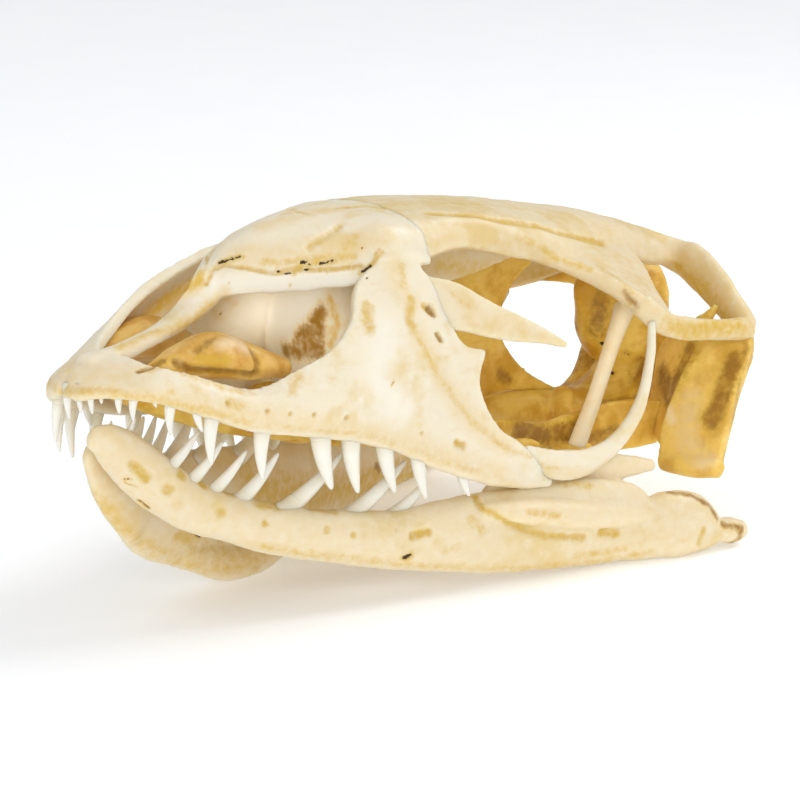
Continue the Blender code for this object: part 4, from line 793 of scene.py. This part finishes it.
def add_plate(mesh, rows, thickness, per=8):
    """A bone sheet through the rows of points, thickened to both sides."""
    along = np.array([spline(row, per) for row in rows])
    grid = np.array([spline(along[:, i], per) for i in range(along.shape[1])])
    columns, steps = grid.shape[:2]
    sheet = bmesh.new()
    verts = [[sheet.verts.new(grid[i, j]) for j in range(steps)] for i in range(columns)]
    for i in range(columns - 1):
        for j in range(steps - 1):
            corners = (verts[i][j], verts[i + 1][j], verts[i + 1][j + 1], verts[i][j + 1])
            sheet.faces.new(corners)
    bmesh.ops.remove_doubles(sheet, verts=sheet.verts, dist=0.0001)
    data = bpy.data.meshes.new("sheet")
    sheet.to_mesh(data)
    sheet.free()
    holder = bpy.data.objects.new("sheet", data)
    bpy.context.scene.collection.objects.link(holder)
    solidify = holder.modifiers.new("thickness", "SOLIDIFY")
    solidify.thickness = thickness
    solidify.offset = 0.0
    solidify.use_even_offset = False
    mesh.from_mesh(evaluated_mesh(holder))
    bpy.data.objects.remove(holder)


def new_object(name, mesh):
    """An object made of the mesh, with its faces turned outwards."""
    data = bpy.data.meshes.new(name)
    bmesh.ops.recalc_face_normals(mesh, faces=mesh.faces)
    mesh.to_mesh(data)
    mesh.free()
    obj = bpy.data.objects.new(name, data)
    bpy.context.scene.collection.objects.link(obj)
    return obj


def bake(obj):
    """Replaces the object's mesh by the result of its modifiers."""
    data = evaluated_mesh(obj)
    obj.modifiers.clear()
    obj.data = data


def cloud(name, size):
    """Soft lumps of the given size for low relief."""
    found = bpy.data.textures.get(name)
    if found:
        return found
    made = bpy.data.textures.new(name, "CLOUDS")
    made.noise_scale = size
    made.noise_depth = 1
    return made


def keep_largest(obj):
    """Drops small loose crumbs of the fused skin."""
    mesh = bmesh.new()
    mesh.from_mesh(obj.data)
    left = set(mesh.verts)
    groups = []
    while left:
        seed = left.pop()
        group, queue = {seed}, [seed]
        while queue:
            for edge in queue.pop().link_edges:
                for vert in edge.verts:
                    if vert in left:
                        left.discard(vert)
                        group.add(vert)
                        queue.append(vert)
        groups.append(group)
    groups.sort(key=len)
    for group in groups[:-1]:
        bmesh.ops.delete(mesh, geom=list(group), context="VERTS")
    mesh.to_mesh(obj.data)
    mesh.free()


def grow_bone(name, mesh, relief=1.0):
    """Fuses the shapes into one skin and gives it the uneven surface of dry bone."""
    obj = new_object(name, mesh)
    skin = obj.modifiers.new("skin", "REMESH")
    skin.mode = "VOXEL"
    skin.voxel_size = VOXEL
    soften = obj.modifiers.new("soften", "SMOOTH")
    soften.factor = 0.5
    soften.iterations = SMOOTH_STEPS
    for label, size, depth in RELIEF:
        lumps = obj.modifiers.new(label, "DISPLACE")
        lumps.texture = cloud(label, size)
        lumps.strength = depth * relief
        lumps.mid_level = 0.5
    bake(obj)
    keep_largest(obj)
    return obj


def snout_mesh():
    """Both maxilla walls with their rims, the nasal roof and bar, and the prefrontals."""
    mesh = bmesh.new()
    right = [mirrored(row) for row in WALL]
    for i, row in TALL_WALL.items():
        right[i] = row
    for rows, inward in ((WALL, RIM_INSET), (right, -RIM_INSET)):
        add_plate(mesh, rows, SHELL)
        edge = [(x, y + inward, z + RIM_RISE, *RIM_HALF) for (x, y, z), *_ in rows[1:]]
        add_bar(mesh, edge, per=3)
    add_plate(mesh, NASAL_ROOF, SHELL)
    add_bar(mesh, NASAL_BAR)
    for side in (same, mirrored):
        add_plate(mesh, [side(row) for row in PREFRONTAL_WALL], SHEET)
        add_bar(mesh, side(PREFRONTAL_RIM))
    return mesh


def roof_mesh():
    """Frontals and parietal in one plate, with the bars and flanges of both sides."""
    mesh = bmesh.new()
    rows = []
    for x, half in ROOF:
        left = [(x, -w, z) for w, z in half]
        rows.append(left + [(x, w, z) for w, z in reversed(half[:-1])])
    add_plate(mesh, rows, ROOF_THICKNESS)
    for side in (same, mirrored):
        add_plate(mesh, [side(row) for row in FRONTAL_FLANGE], SHEET)
        add_plate(mesh, [side(row) for row in POSTORBITAL], ROOF_THICKNESS)
        add_bar(mesh, side(ORBIT_RIM))
        add_bar(mesh, side(LOWER_ARCADE))
        add_bar(mesh, side(REAR_ARM))
    return mesh


def braincase_mesh():
    mesh = bmesh.new()
    add_bar(mesh, BRAINCASE_BODY)
    add_bar(mesh, BASISPHENOID)
    for side in (same, mirrored):
        add_bar(mesh, side(BASIPTERYGOID))
        add_bar(mesh, side(BASAL_TUBER))
    for process in (PAROCCIPITAL_LEFT, PAROCCIPITAL_RIGHT):
        add_plate(mesh, process, ROOF_THICKNESS)
    return mesh


def palate_mesh(side):
    mesh = bmesh.new()
    for bar in (VOMER, PALATINE, PALATINE_SIDE, PTERYGOID, ECTOPTERYGOID):
        add_bar(mesh, side(bar))
    add_plate(mesh, [side(row) for row in PTERYGOID_WING], SHELL)
    return mesh


def septum_mesh():
    mesh = bmesh.new()
    add_plate(mesh, SEPTUM, SHEET)
    return mesh


def quadrate_mesh(side):
    mesh = bmesh.new()
    add_plate(mesh, QUADRATE if side is same else QUADRATE_RIGHT, QUADRATE_THICKNESS)
    add_bar(mesh, side(CONDYLE))
    if side is same:
        add_plate(mesh, QUADRATE_FLANGE, SHEET)
    return mesh


def bar_mesh(points):
    mesh = bmesh.new()
    add_bar(mesh, points)
    return mesh


def palpebral_mesh(side):
    mesh = bmesh.new()
    add_plate(mesh, [side(row) for row in PALPEBRAL], SHEET)
    return mesh


def mandible_mesh(stations, side):
    mesh = bmesh.new()
    add_ramus(mesh, stations)
    add_bar(mesh, side(CORONOID))
    add_bar(mesh, side(LENS))
    if side is mirrored:
        add_bar(mesh, CHIN_KEEL)
    return mesh


def camera_axes():
    """Eye, right, up and forward of the viewpoint in the building frame."""
    yaw, drop = math.radians(CAMERA_YAW), math.radians(CAMERA_DROP)
    forward = Vector((math.sin(yaw) * math.cos(drop), math.cos(yaw) * math.cos(drop), -math.sin(drop)))
    right = Vector((math.cos(yaw), -math.sin(yaw), 0))
    up = right.cross(forward)
    eye = Vector(CAMERA_TARGET) - forward * CAMERA_DISTANCE
    return eye, right, up, forward


def pixel_ray(u, v):
    """Direction from the eye through a pixel of the picture."""
    _, right, up, forward = camera_axes()
    reach = CAMERA_SCALE * CAMERA_DISTANCE
    middle = IMAGE_SIDE / 2
    return (forward + right * ((u - middle) / reach) - up * ((v - middle) / reach)).normalized()


def densified(course, step=1.5):
    """Points every few pixels along the course."""
    if len(course) == 1:
        return [course[0]]
    out = []
    for (a, b), (c, d) in zip(course, course[1:]):
        count = max(1, int(math.hypot(c - a, d - b) / step))
        out += [(a + (c - a) * i / count, b + (d - b) * i / count) for i in range(count)]
    out.append(course[-1])
    return out


def in_frame(points):
    """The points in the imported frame, inside the box of the solids."""
    return np.clip((points - SHIFT) * MM, np.array(cad_low) + BOX_MARGIN, np.array(cad_high) - BOX_MARGIN)


class Skin:
    """A bone's surface with its tints, before it is placed in the frame."""

    # The last tint is a painted glow, which the material turns into emission.
    TINTS = ("gold", "ochre", "brown", "dark", "pale", "glow")

    def __init__(self, obj):
        self.obj = obj
        data = obj.data
        count = len(data.vertices)
        self.points = np.empty(count * 3)
        data.vertices.foreach_get("co", self.points)
        self.points = self.points.reshape(-1, 3)
        self.normals = np.empty(count * 3)
        data.vertices.foreach_get("normal", self.normals)
        self.normals = self.normals.reshape(-1, 3)
        self.tints = {name: np.zeros(count) for name in self.TINTS}
        self.push = np.zeros(count)
        self.tree = KDTree(count)
        for i, point in enumerate(self.points):
            self.tree.insert(point, i)
        self.tree.balance()
        faces = [tuple(p.vertices) for p in data.polygons]
        self.surface = BVHTree.FromPolygons([tuple(p) for p in self.points], faces)

    def stroke(self, spots, tint, radius, depth, strength):
        """Tints and sinks the surface near the spots, each a point and a facing."""
        change = np.zeros(len(self.points))
        for spot, facing in spots:
            near = self.tree.find_range(spot, radius)
            if not near:
                continue
            index = np.array([item[1] for item in near])
            gap = np.array([item[2] for item in near])
            share = (1 - (gap / radius) ** 2) ** 2
            share = share * (self.normals[index] @ np.array(facing) > FACING)
            change[index] = np.maximum(change[index], share)
        self.tints[tint] = np.maximum(self.tints[tint], change * strength)
        self.push += change * depth

    def apply(self):
        moved = self.points + self.normals * self.push[:, None]
        data = self.obj.data
        data.vertices.foreach_set("co", in_frame(moved).ravel())
        for name, values in self.tints.items():
            layer = data.attributes.new(name, "FLOAT", "POINT")
            layer.data.foreach_set("value", values.astype(np.float32))
        data.shade_smooth()
        data.update()


def draw_mark(skins, bone, tint, radius, depth, strength, course):
    """Lays a mark on its bone, and a fainter one on the bone of the other side."""
    eye = camera_axes()[0]
    spots = []
    for u, v in densified(course):
        place, normal, _, _ = skins[bone].surface.ray_cast(eye, pixel_ray(u, v))
        if place is not None:
            spots.append((place, normal))
    skins[bone].stroke(spots, tint, radius, depth, strength)
    for ring, wider, share in HALOS.get(tint, ()):
        skins[bone].stroke(spots, ring, radius * wider, 0.0, strength * share)
    if tint == "dark" or bone == "mandible_right":
        return
    other = skins[bone.replace("_left", "_right")]
    echo = []
    for place, normal in spots:
        if place.y > ECHO_LINE:
            continue
        there, facing, _, gap = other.surface.find_nearest(Vector((place.x, -place.y, place.z)))
        if gap < ECHO_GAP:
            echo.append((there, facing))
    other.stroke(echo, tint, radius, depth, strength * ECHO_STRENGTH)


def draw_marks(skins):
    for bone, rows in MARKS.items():
        for tint, radius, depth, strength, *courses in rows:
            for course in courses:
                draw_mark(skins, bone, tint, radius, depth, strength, course)


def tooth_width(t):
    """Share of the radius that a tooth has at the share t of its height."""
    size = 1.04 - 0.60 * t - 0.26 * t ** 4 + 0.12 * (1 - t) ** 8
    if t > TIP_START:
        size *= max(0.15, math.sqrt(max(0.0, 1 - ((t - TIP_START) / (1 - TIP_START)) ** 2)))
    return size


def tooth(mesh, base, tip, radius, crown):
    """A slightly curved cone with a rounded point, flattened sideways, that widens into the jaw."""
    start, end = Vector(base), Vector(tip)
    axis = (end - start).normalized()
    start = start - axis * radius * ROOT_DEPTH
    side = axis.cross(Vector((0, 1, 0))).normalized()
    across = side.cross(axis).normalized()
    rings = []
    for j in range(TOOTH_RINGS):
        t = 1 - (1 - j / (TOOTH_RINGS - 1)) ** 1.4
        size = tooth_width(t)
        middle = start.lerp(end, t) - side * TOOTH_BEND * radius * math.sin(math.pi * t)
        rings.append([
            mesh.verts.new(
                middle
                + side * radius * size * math.cos(2 * math.pi * k / TOOTH_SIDES)
                + across * radius * size * TOOTH_FLATNESS * math.sin(2 * math.pi * k / TOOTH_SIDES)
            )
            for k in range(TOOTH_SIDES)
        ])
        for vert in rings[-1]:
            vert[crown] = t
    point = mesh.verts.new(end + axis * radius * 0.04)
    point[crown] = 1.0
    root = mesh.verts.new(start - axis * radius * 0.2)
    for k in range(TOOTH_SIDES):
        n = (k + 1) % TOOTH_SIDES
        mesh.faces.new((rings[0][n], rings[0][k], root))
        mesh.faces.new((rings[-1][k], rings[-1][n], point))
        for first, second in zip(rings, rings[1:]):
            mesh.faces.new((first[k], first[n], second[n], second[k]))


def tooth_row(name, teeth):
    """One piece with all the teeth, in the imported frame."""
    mesh = bmesh.new()
    crown = mesh.verts.layers.float.new("crown")
    for base, tip, radius in teeth:
        inward = Vector((TOOTH_INSET * BACK_INSET_SHARE, -math.copysign(TOOTH_INSET, base[1]), 0.0))
        tooth(mesh, Vector(base) + inward, Vector(tip) + inward * TIP_INSET_SHARE, radius, crown)
    obj = new_object(name, mesh)
    data = obj.data
    points = np.empty(len(data.vertices) * 3)
    data.vertices.foreach_get("co", points)
    data.vertices.foreach_set("co", in_frame(points.reshape(-1, 3)).ravel())
    data.shade_smooth()
    data.update()
    return obj


def side_teeth(teeth, side):
    return [(side([base])[0], side([tip])[0], radius) for base, tip, radius in teeth]


def hung_right(teeth):
    """The same teeth in the deeper tooth row of the right side."""
    where, drop = zip(*RIGHT_DROP)
    placed = []
    for base, tip, radius in side_teeth(teeth, mirrored):
        fall = np.array([0.0, 0.0, np.interp(base[0], where, drop)])
        placed.append((tuple(np.array(base) - fall), tuple(np.array(tip) - fall), radius))
    return placed


def teeth_on(stations, teeth, side):
    """Moves the lower teeth onto the upper edge of a ramus."""
    rows = spline(stations, 6)
    placed = []
    for base, tip, radius in side_teeth(teeth, side):
        row = rows[np.argmin(np.abs(rows[:, 0] - base[0]))]
        move = np.array([0.0, row[1] - base[1], row[3] - TOOTH_SINK - base[2]])
        placed.append((tuple(np.array(base) + move), tuple(np.array(tip) + move), radius))
    return placed


class Nodes:
    """Short ways to add shader nodes to one material."""

    def __init__(self, name):
        self.material = bpy.data.materials.new(name)
        self.material.use_nodes = True
        self.tree = self.material.node_tree
        self.shader = self.tree.nodes["Principled BSDF"]
        self.place = self.add("ShaderNodeTexCoord").outputs["Object"]

    def add(self, kind, **settings):
        node = self.tree.nodes.new(kind)
        for name, value in settings.items():
            setattr(node, name, value)
        return node

    def link(self, source, target):
        self.tree.links.new(source, target)

    def feed(self, socket, value):
        if isinstance(value, (int, float, tuple)):
            socket.default_value = value
        else:
            self.link(value, socket)

    def noise(self, scale, detail=4.0, rough=0.55, stretch=None):
        """Noise over the object's own coordinates, stretched along an axis if asked."""
        node = self.add("ShaderNodeTexNoise")
        node.inputs["Scale"].default_value = scale
        node.inputs["Detail"].default_value = detail
        node.inputs["Roughness"].default_value = rough
        if stretch:
            mapping = self.add("ShaderNodeMapping")
            mapping.inputs["Scale"].default_value = stretch
            self.link(self.place, mapping.inputs["Vector"])
            self.link(mapping.outputs["Vector"], node.inputs["Vector"])
        else:
            self.link(self.place, node.inputs["Vector"])
        return node.outputs["Fac"]

    def ramp(self, value, low, high, out_low=0.0, out_high=1.0):
        """Smooth step of the value from low to high, onto the given range."""
        node = self.add("ShaderNodeMapRange", interpolation_type="SMOOTHSTEP")
        self.feed(node.inputs["Value"], value)
        node.inputs["From Min"].default_value = low
        node.inputs["From Max"].default_value = high
        node.inputs["To Min"].default_value = out_low
        node.inputs["To Max"].default_value = out_high
        return node.outputs["Result"]

    def math(self, operation, a, b):
        node = self.add("ShaderNodeMath", operation=operation)
        self.feed(node.inputs[0], a)
        self.feed(node.inputs[1], b)
        return node.outputs["Value"]

    def mix(self, share, a, b):
        node = self.add("ShaderNodeMix", data_type="RGBA")
        self.feed(node.inputs["Factor"], share)
        self.feed(node.inputs["A"], a)
        self.feed(node.inputs["B"], b)
        return node.outputs["Result"]

    def attribute(self, name):
        node = self.add("ShaderNodeAttribute", attribute_name=name)
        return node.outputs["Fac"]


def colour(red, green, blue):
    return (red, green, blue, 1.0)


# Strength of the painted glow: marked bone surfaces emit their own colour, standing in for light let through
# thin walls and light reaching dark hollows.
PAINTED_GLOW = 0.42

# Tints shared by the bones, as linear colours.
PALE = colour(0.88, 0.83, 0.72)
CREAM = colour(0.83, 0.75, 0.58)
GOLD = colour(0.76, 0.58, 0.27)
OCHRE = colour(0.66, 0.43, 0.03)
BROWN = colour(0.33, 0.15, 0.012)
DARK = colour(0.07, 0.028, 0.006)


def bone_material(name, base, warm, share, chalk):
    """Dry bone: mottled base tint, warm blotches, painted shade in creases, stains, a painted glow, satin
    gloss and fine grain.
    """
    n = Nodes(name)
    broad = n.noise(140.0, 3.0)
    middle = n.noise(520.0, 5.0, 0.6)
    fine = n.noise(2600.0, 4.0, 0.6)
    fibres = n.noise(1500.0, 3.0, 0.6, stretch=(0.22, 1.0, 1.0))
    blotch = n.ramp(n.math("ADD", n.math("MULTIPLY", broad, 0.65), n.math("MULTIPLY", middle, 0.35)),
                    0.60 - share * 0.35, 0.74 - share * 0.30)
    look = n.mix(blotch, base, warm)
    look = n.mix(n.ramp(middle, 0.42, 0.30, 0.0, chalk), look, PALE)
    look = n.mix(n.ramp(fibres, 0.52, 0.72, 0.0, 0.30), look, warm)
    # Painted shade: hollow, creased parts of the surface take the darker warm tint.
    bend = n.add("ShaderNodeNewGeometry").outputs["Pointiness"]
    look = n.mix(n.ramp(bend, 0.49, 0.42, 0.0, 0.55), look, warm)
    worn = n.ramp(n.noise(900.0, 4.0), 0.30, 0.62, 0.55, 1.0)
    look = n.mix(n.math("MULTIPLY", n.attribute("pale"), 0.9), look, PALE)
    look = n.mix(n.math("MULTIPLY", n.attribute("gold"), worn), look, GOLD)
    ragged = n.math("MULTIPLY", n.math("SUBTRACT", n.noise(1300.0, 5.0, 0.65), 0.5), 1.1)
    for tint, paint, most in (("ochre", OCHRE, 0.85), ("brown", BROWN, 0.92)):
        layer = n.attribute(tint)
        reach = n.math("ADD", layer, n.math("MULTIPLY", ragged, n.ramp(layer, 0.0, 0.3)))
        look = n.mix(n.math("MULTIPLY", n.ramp(reach, 0.05, 0.9, 0.0, most), worn), look, paint)
    dark = n.attribute("dark")
    torn = n.math("ADD", dark, n.math("MULTIPLY", ragged, n.ramp(dark, 0.0, 0.3, 0.0, 1.5)))
    look = n.mix(n.ramp(torn, 0.30, 0.50), look, DARK)
    n.link(look, n.shader.inputs["Base Color"])
    n.link(n.ramp(middle, 0.3, 0.7, 0.34, 0.56), n.shader.inputs["Roughness"])
    height = n.math("ADD", n.math("MULTIPLY", fine, 0.5), n.math("MULTIPLY", fibres, 0.5))
    bump = n.add("ShaderNodeBump")
    bump.inputs["Strength"].default_value = 0.35
    bump.inputs["Distance"].default_value = 0.00012
    n.link(height, bump.inputs["Height"])
    n.link(bump.outputs["Normal"], n.shader.inputs["Normal"])
    n.shader.inputs["Subsurface Weight"].default_value = 0.6
    n.shader.inputs["Subsurface Radius"].default_value = (1.0, 0.80, 0.50)
    n.shader.inputs["Subsurface Scale"].default_value = 0.0016
    n.shader.inputs["Specular IOR Level"].default_value = 0.42
    # Painted glow: the bone emits its own colour where the glow tint is marked, light that no lamp gives.
    n.link(look, n.shader.inputs["Emission Color"])
    n.link(n.math("MULTIPLY", n.attribute("glow"), PAINTED_GLOW), n.shader.inputs["Emission Strength"])
    return n.material


def tooth_material():
    """Glossy, slightly see-through enamel, yellower where it leaves the jaw."""
    n = Nodes("tooth_enamel")
    crown = n.attribute("crown")
    grain = n.noise(1800.0, 3.0, 0.55)
    look = n.mix(n.ramp(crown, 0.12, 0.45), colour(0.84, 0.76, 0.58), colour(0.97, 0.92, 0.80))
    look = n.mix(n.ramp(crown, 0.85, 1.0, 0.0, 0.2), look, colour(0.92, 0.84, 0.66))
    look = n.mix(n.ramp(grain, 0.55, 0.75, 0.0, 0.15), look, colour(0.82, 0.70, 0.45))
    n.link(look, n.shader.inputs["Base Color"])
    n.link(n.ramp(crown, 0.1, 0.4, 0.35, 0.16), n.shader.inputs["Roughness"])
    bump = n.add("ShaderNodeBump")
    bump.inputs["Strength"].default_value = 0.2
    bump.inputs["Distance"].default_value = 0.00006
    n.link(grain, bump.inputs["Height"])
    n.link(bump.outputs["Normal"], n.shader.inputs["Normal"])
    n.shader.inputs["Subsurface Weight"].default_value = 0.55
    n.shader.inputs["Subsurface Radius"].default_value = (1.0, 0.85, 0.65)
    n.shader.inputs["Subsurface Scale"].default_value = 0.0014
    n.shader.inputs["Transmission Weight"].default_value = 0.08
    n.shader.inputs["Coat Weight"].default_value = 0.3
    n.shader.inputs["Coat Roughness"].default_value = 0.12
    return n.material


def floor_material():
    """Nearly white matt floor, slightly lit from within as a studio sweep is."""
    n = Nodes("pale_floor")
    grain = n.noise(60.0, 3.0)
    look = n.mix(n.ramp(grain, 0.3, 0.7), colour(0.915, 0.935, 0.970), colour(0.935, 0.955, 0.985))
    n.link(look, n.shader.inputs["Base Color"])
    n.shader.inputs["Roughness"].default_value = 0.7
    n.shader.inputs["Emission Color"].default_value = (1.0, 1.0, 1.0, 1.0)
    n.shader.inputs["Emission Strength"].default_value = 0.225
    return n.material


def add_camera():
    """The camera at the viewpoint, framed for the square picture."""
    eye, right, up, forward = camera_axes()
    place = (np.array(eye) - SHIFT) * MM
    data = bpy.data.cameras.new("camera")
    data.sensor_width = SENSOR
    data.lens = SENSOR * CAMERA_SCALE * CAMERA_DISTANCE / IMAGE_SIDE
    data.clip_start = 0.01
    data.clip_end = 20.0
    obj = bpy.data.objects.new("camera", data)
    bpy.context.scene.collection.objects.link(obj)
    obj.matrix_world = Matrix((
        (right.x, up.x, -forward.x, place[0]),
        (right.y, up.y, -forward.y, place[1]),
        (right.z, up.z, -forward.z, place[2]),
        (0, 0, 0, 1),
    ))
    bpy.context.scene.camera = obj


def add_light(name, place, size, power):
    """A square white lamp that faces the skull."""
    data = bpy.data.lights.new(name, "AREA")
    data.size = size
    data.energy = power
    obj = bpy.data.objects.new(name, data)
    bpy.context.scene.collection.objects.link(obj)
    obj.location = place
    obj.rotation_mode = "QUATERNION"
    obj.rotation_quaternion = (Vector(LAMP_TARGET) - Vector(place)).to_track_quat("-Z", "Y")


def add_studio():
    """Pale floor, even sky, a large soft lamp from the right and a weaker one from the front left."""
    mesh = bmesh.new()
    bmesh.ops.create_circle(mesh, cap_ends=True, segments=96, radius=FLOOR_RADIUS)
    floor = new_object("floor", mesh)
    floor.data.materials.append(floor_material())
    world = bpy.data.worlds.new("studio")
    world.use_nodes = True
    sky = world.node_tree.nodes["Background"]
    sky.inputs["Color"].default_value = (1.0, 1.0, 1.0, 1.0)
    sky.inputs["Strength"].default_value = SKY
    bpy.context.scene.world = world
    for name, (place, size, power) in LAMPS.items():
        add_light(name, place, size, power)
    view = bpy.context.scene.view_settings
    view.view_transform = "Standard"
    view.look = "None"
    view.exposure = 0.0
    view.gamma = 1.0


# Overall golden wash of some bones, and bones painted like another slot.
WASH = {"mandible": 0.45, "skull_roof": 0.50, "palpebral": 0.30, "quadrate": 0.20, "epipterygoid": 0.40}
PAINT = {"epipterygoid": "jaw_bone"}

sides = (("left", same), ("right", mirrored))
rods = {"left": EPIPTERYGOID_LEFT, "right": EPIPTERYGOID_RIGHT}
bones = {
    "snout": (snout_mesh(), "jaw_bone"),
    "skull_roof": (roof_mesh(), "roof_bone"),
    "braincase": (braincase_mesh(), "rear_bone"),
    "septum": (septum_mesh(), "rear_bone"),
    "mandible_left": (mandible_mesh(RAMUS_LEFT, same), "jaw_bone"),
    "mandible_right": (mandible_mesh(RAMUS_RIGHT, mirrored), "jaw_bone"),
}
for label, side in sides:
    bones["palate_" + label] = (palate_mesh(side), "rear_bone")
    bones["jugal_" + label] = (bar_mesh(side(JUGAL)), "jaw_bone")
    bones["quadrate_" + label] = (quadrate_mesh(side), "rear_bone")
    bones["epipterygoid_" + label] = (bar_mesh(rods[label]), "rear_bone")
    bones["palpebral_" + label] = (palpebral_mesh(side), "jaw_bone")
    bones["septomaxilla_" + label] = (bar_mesh(side(SEPTOMAXILLA)), "nasal_bone")

# Slot, base tint, warm tint, share of warm blotches and strength of chalky patches.
LOOKS = {
    slot: bone_material(slot + "_look", base, warm, share, chalk)
    for slot, base, warm, share, chalk in (
        ("jaw_bone", CREAM, colour(0.76, 0.62, 0.34), 0.25, 0.45),
        ("roof_bone", colour(0.81, 0.72, 0.53), colour(0.72, 0.55, 0.25), 0.40, 0.45),
        ("rear_bone", colour(0.85, 0.59, 0.11), colour(0.66, 0.37, 0.03), 0.42, 0.08),
        ("nasal_bone", colour(0.78, 0.50, 0.14), colour(0.60, 0.31, 0.04), 0.50, 0.15),
    )
}

skins = {}
for name, (mesh, look) in bones.items():
    thin = name.split("_")[0] in THIN_BONES
    skins[name] = Skin(grow_bone("bone_" + name, mesh, THIN_RELIEF if thin else 1.0))
draw_marks(skins)
for name, (mesh, look) in bones.items():
    kind = name.replace("_left", "").replace("_right", "")
    skins[name].tints["gold"] = np.maximum(skins[name].tints["gold"], WASH.get(kind, 0.0))
    skins[name].apply()
    piece = skins[name].obj
    piece.data.materials.clear()
    piece.data.materials.append(LOOKS[PAINT.get(kind, look)])
    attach(piece, "root")
    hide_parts(name)

enamel = tooth_material()
rows = {
    "teeth_upper": UPPER_TEETH + RIGHT_FRONT_TEETH + hung_right(UPPER_TEETH[4:]),
    "teeth_lower_left": LOWER_TEETH,
    "teeth_lower_right": teeth_on(RAMUS_RIGHT, LOWER_TEETH, mirrored),
}
for name, teeth in rows.items():
    piece = tooth_row(name, teeth)
    piece.data.materials.append(enamel)
    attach(piece, "root")

add_camera()
add_studio()
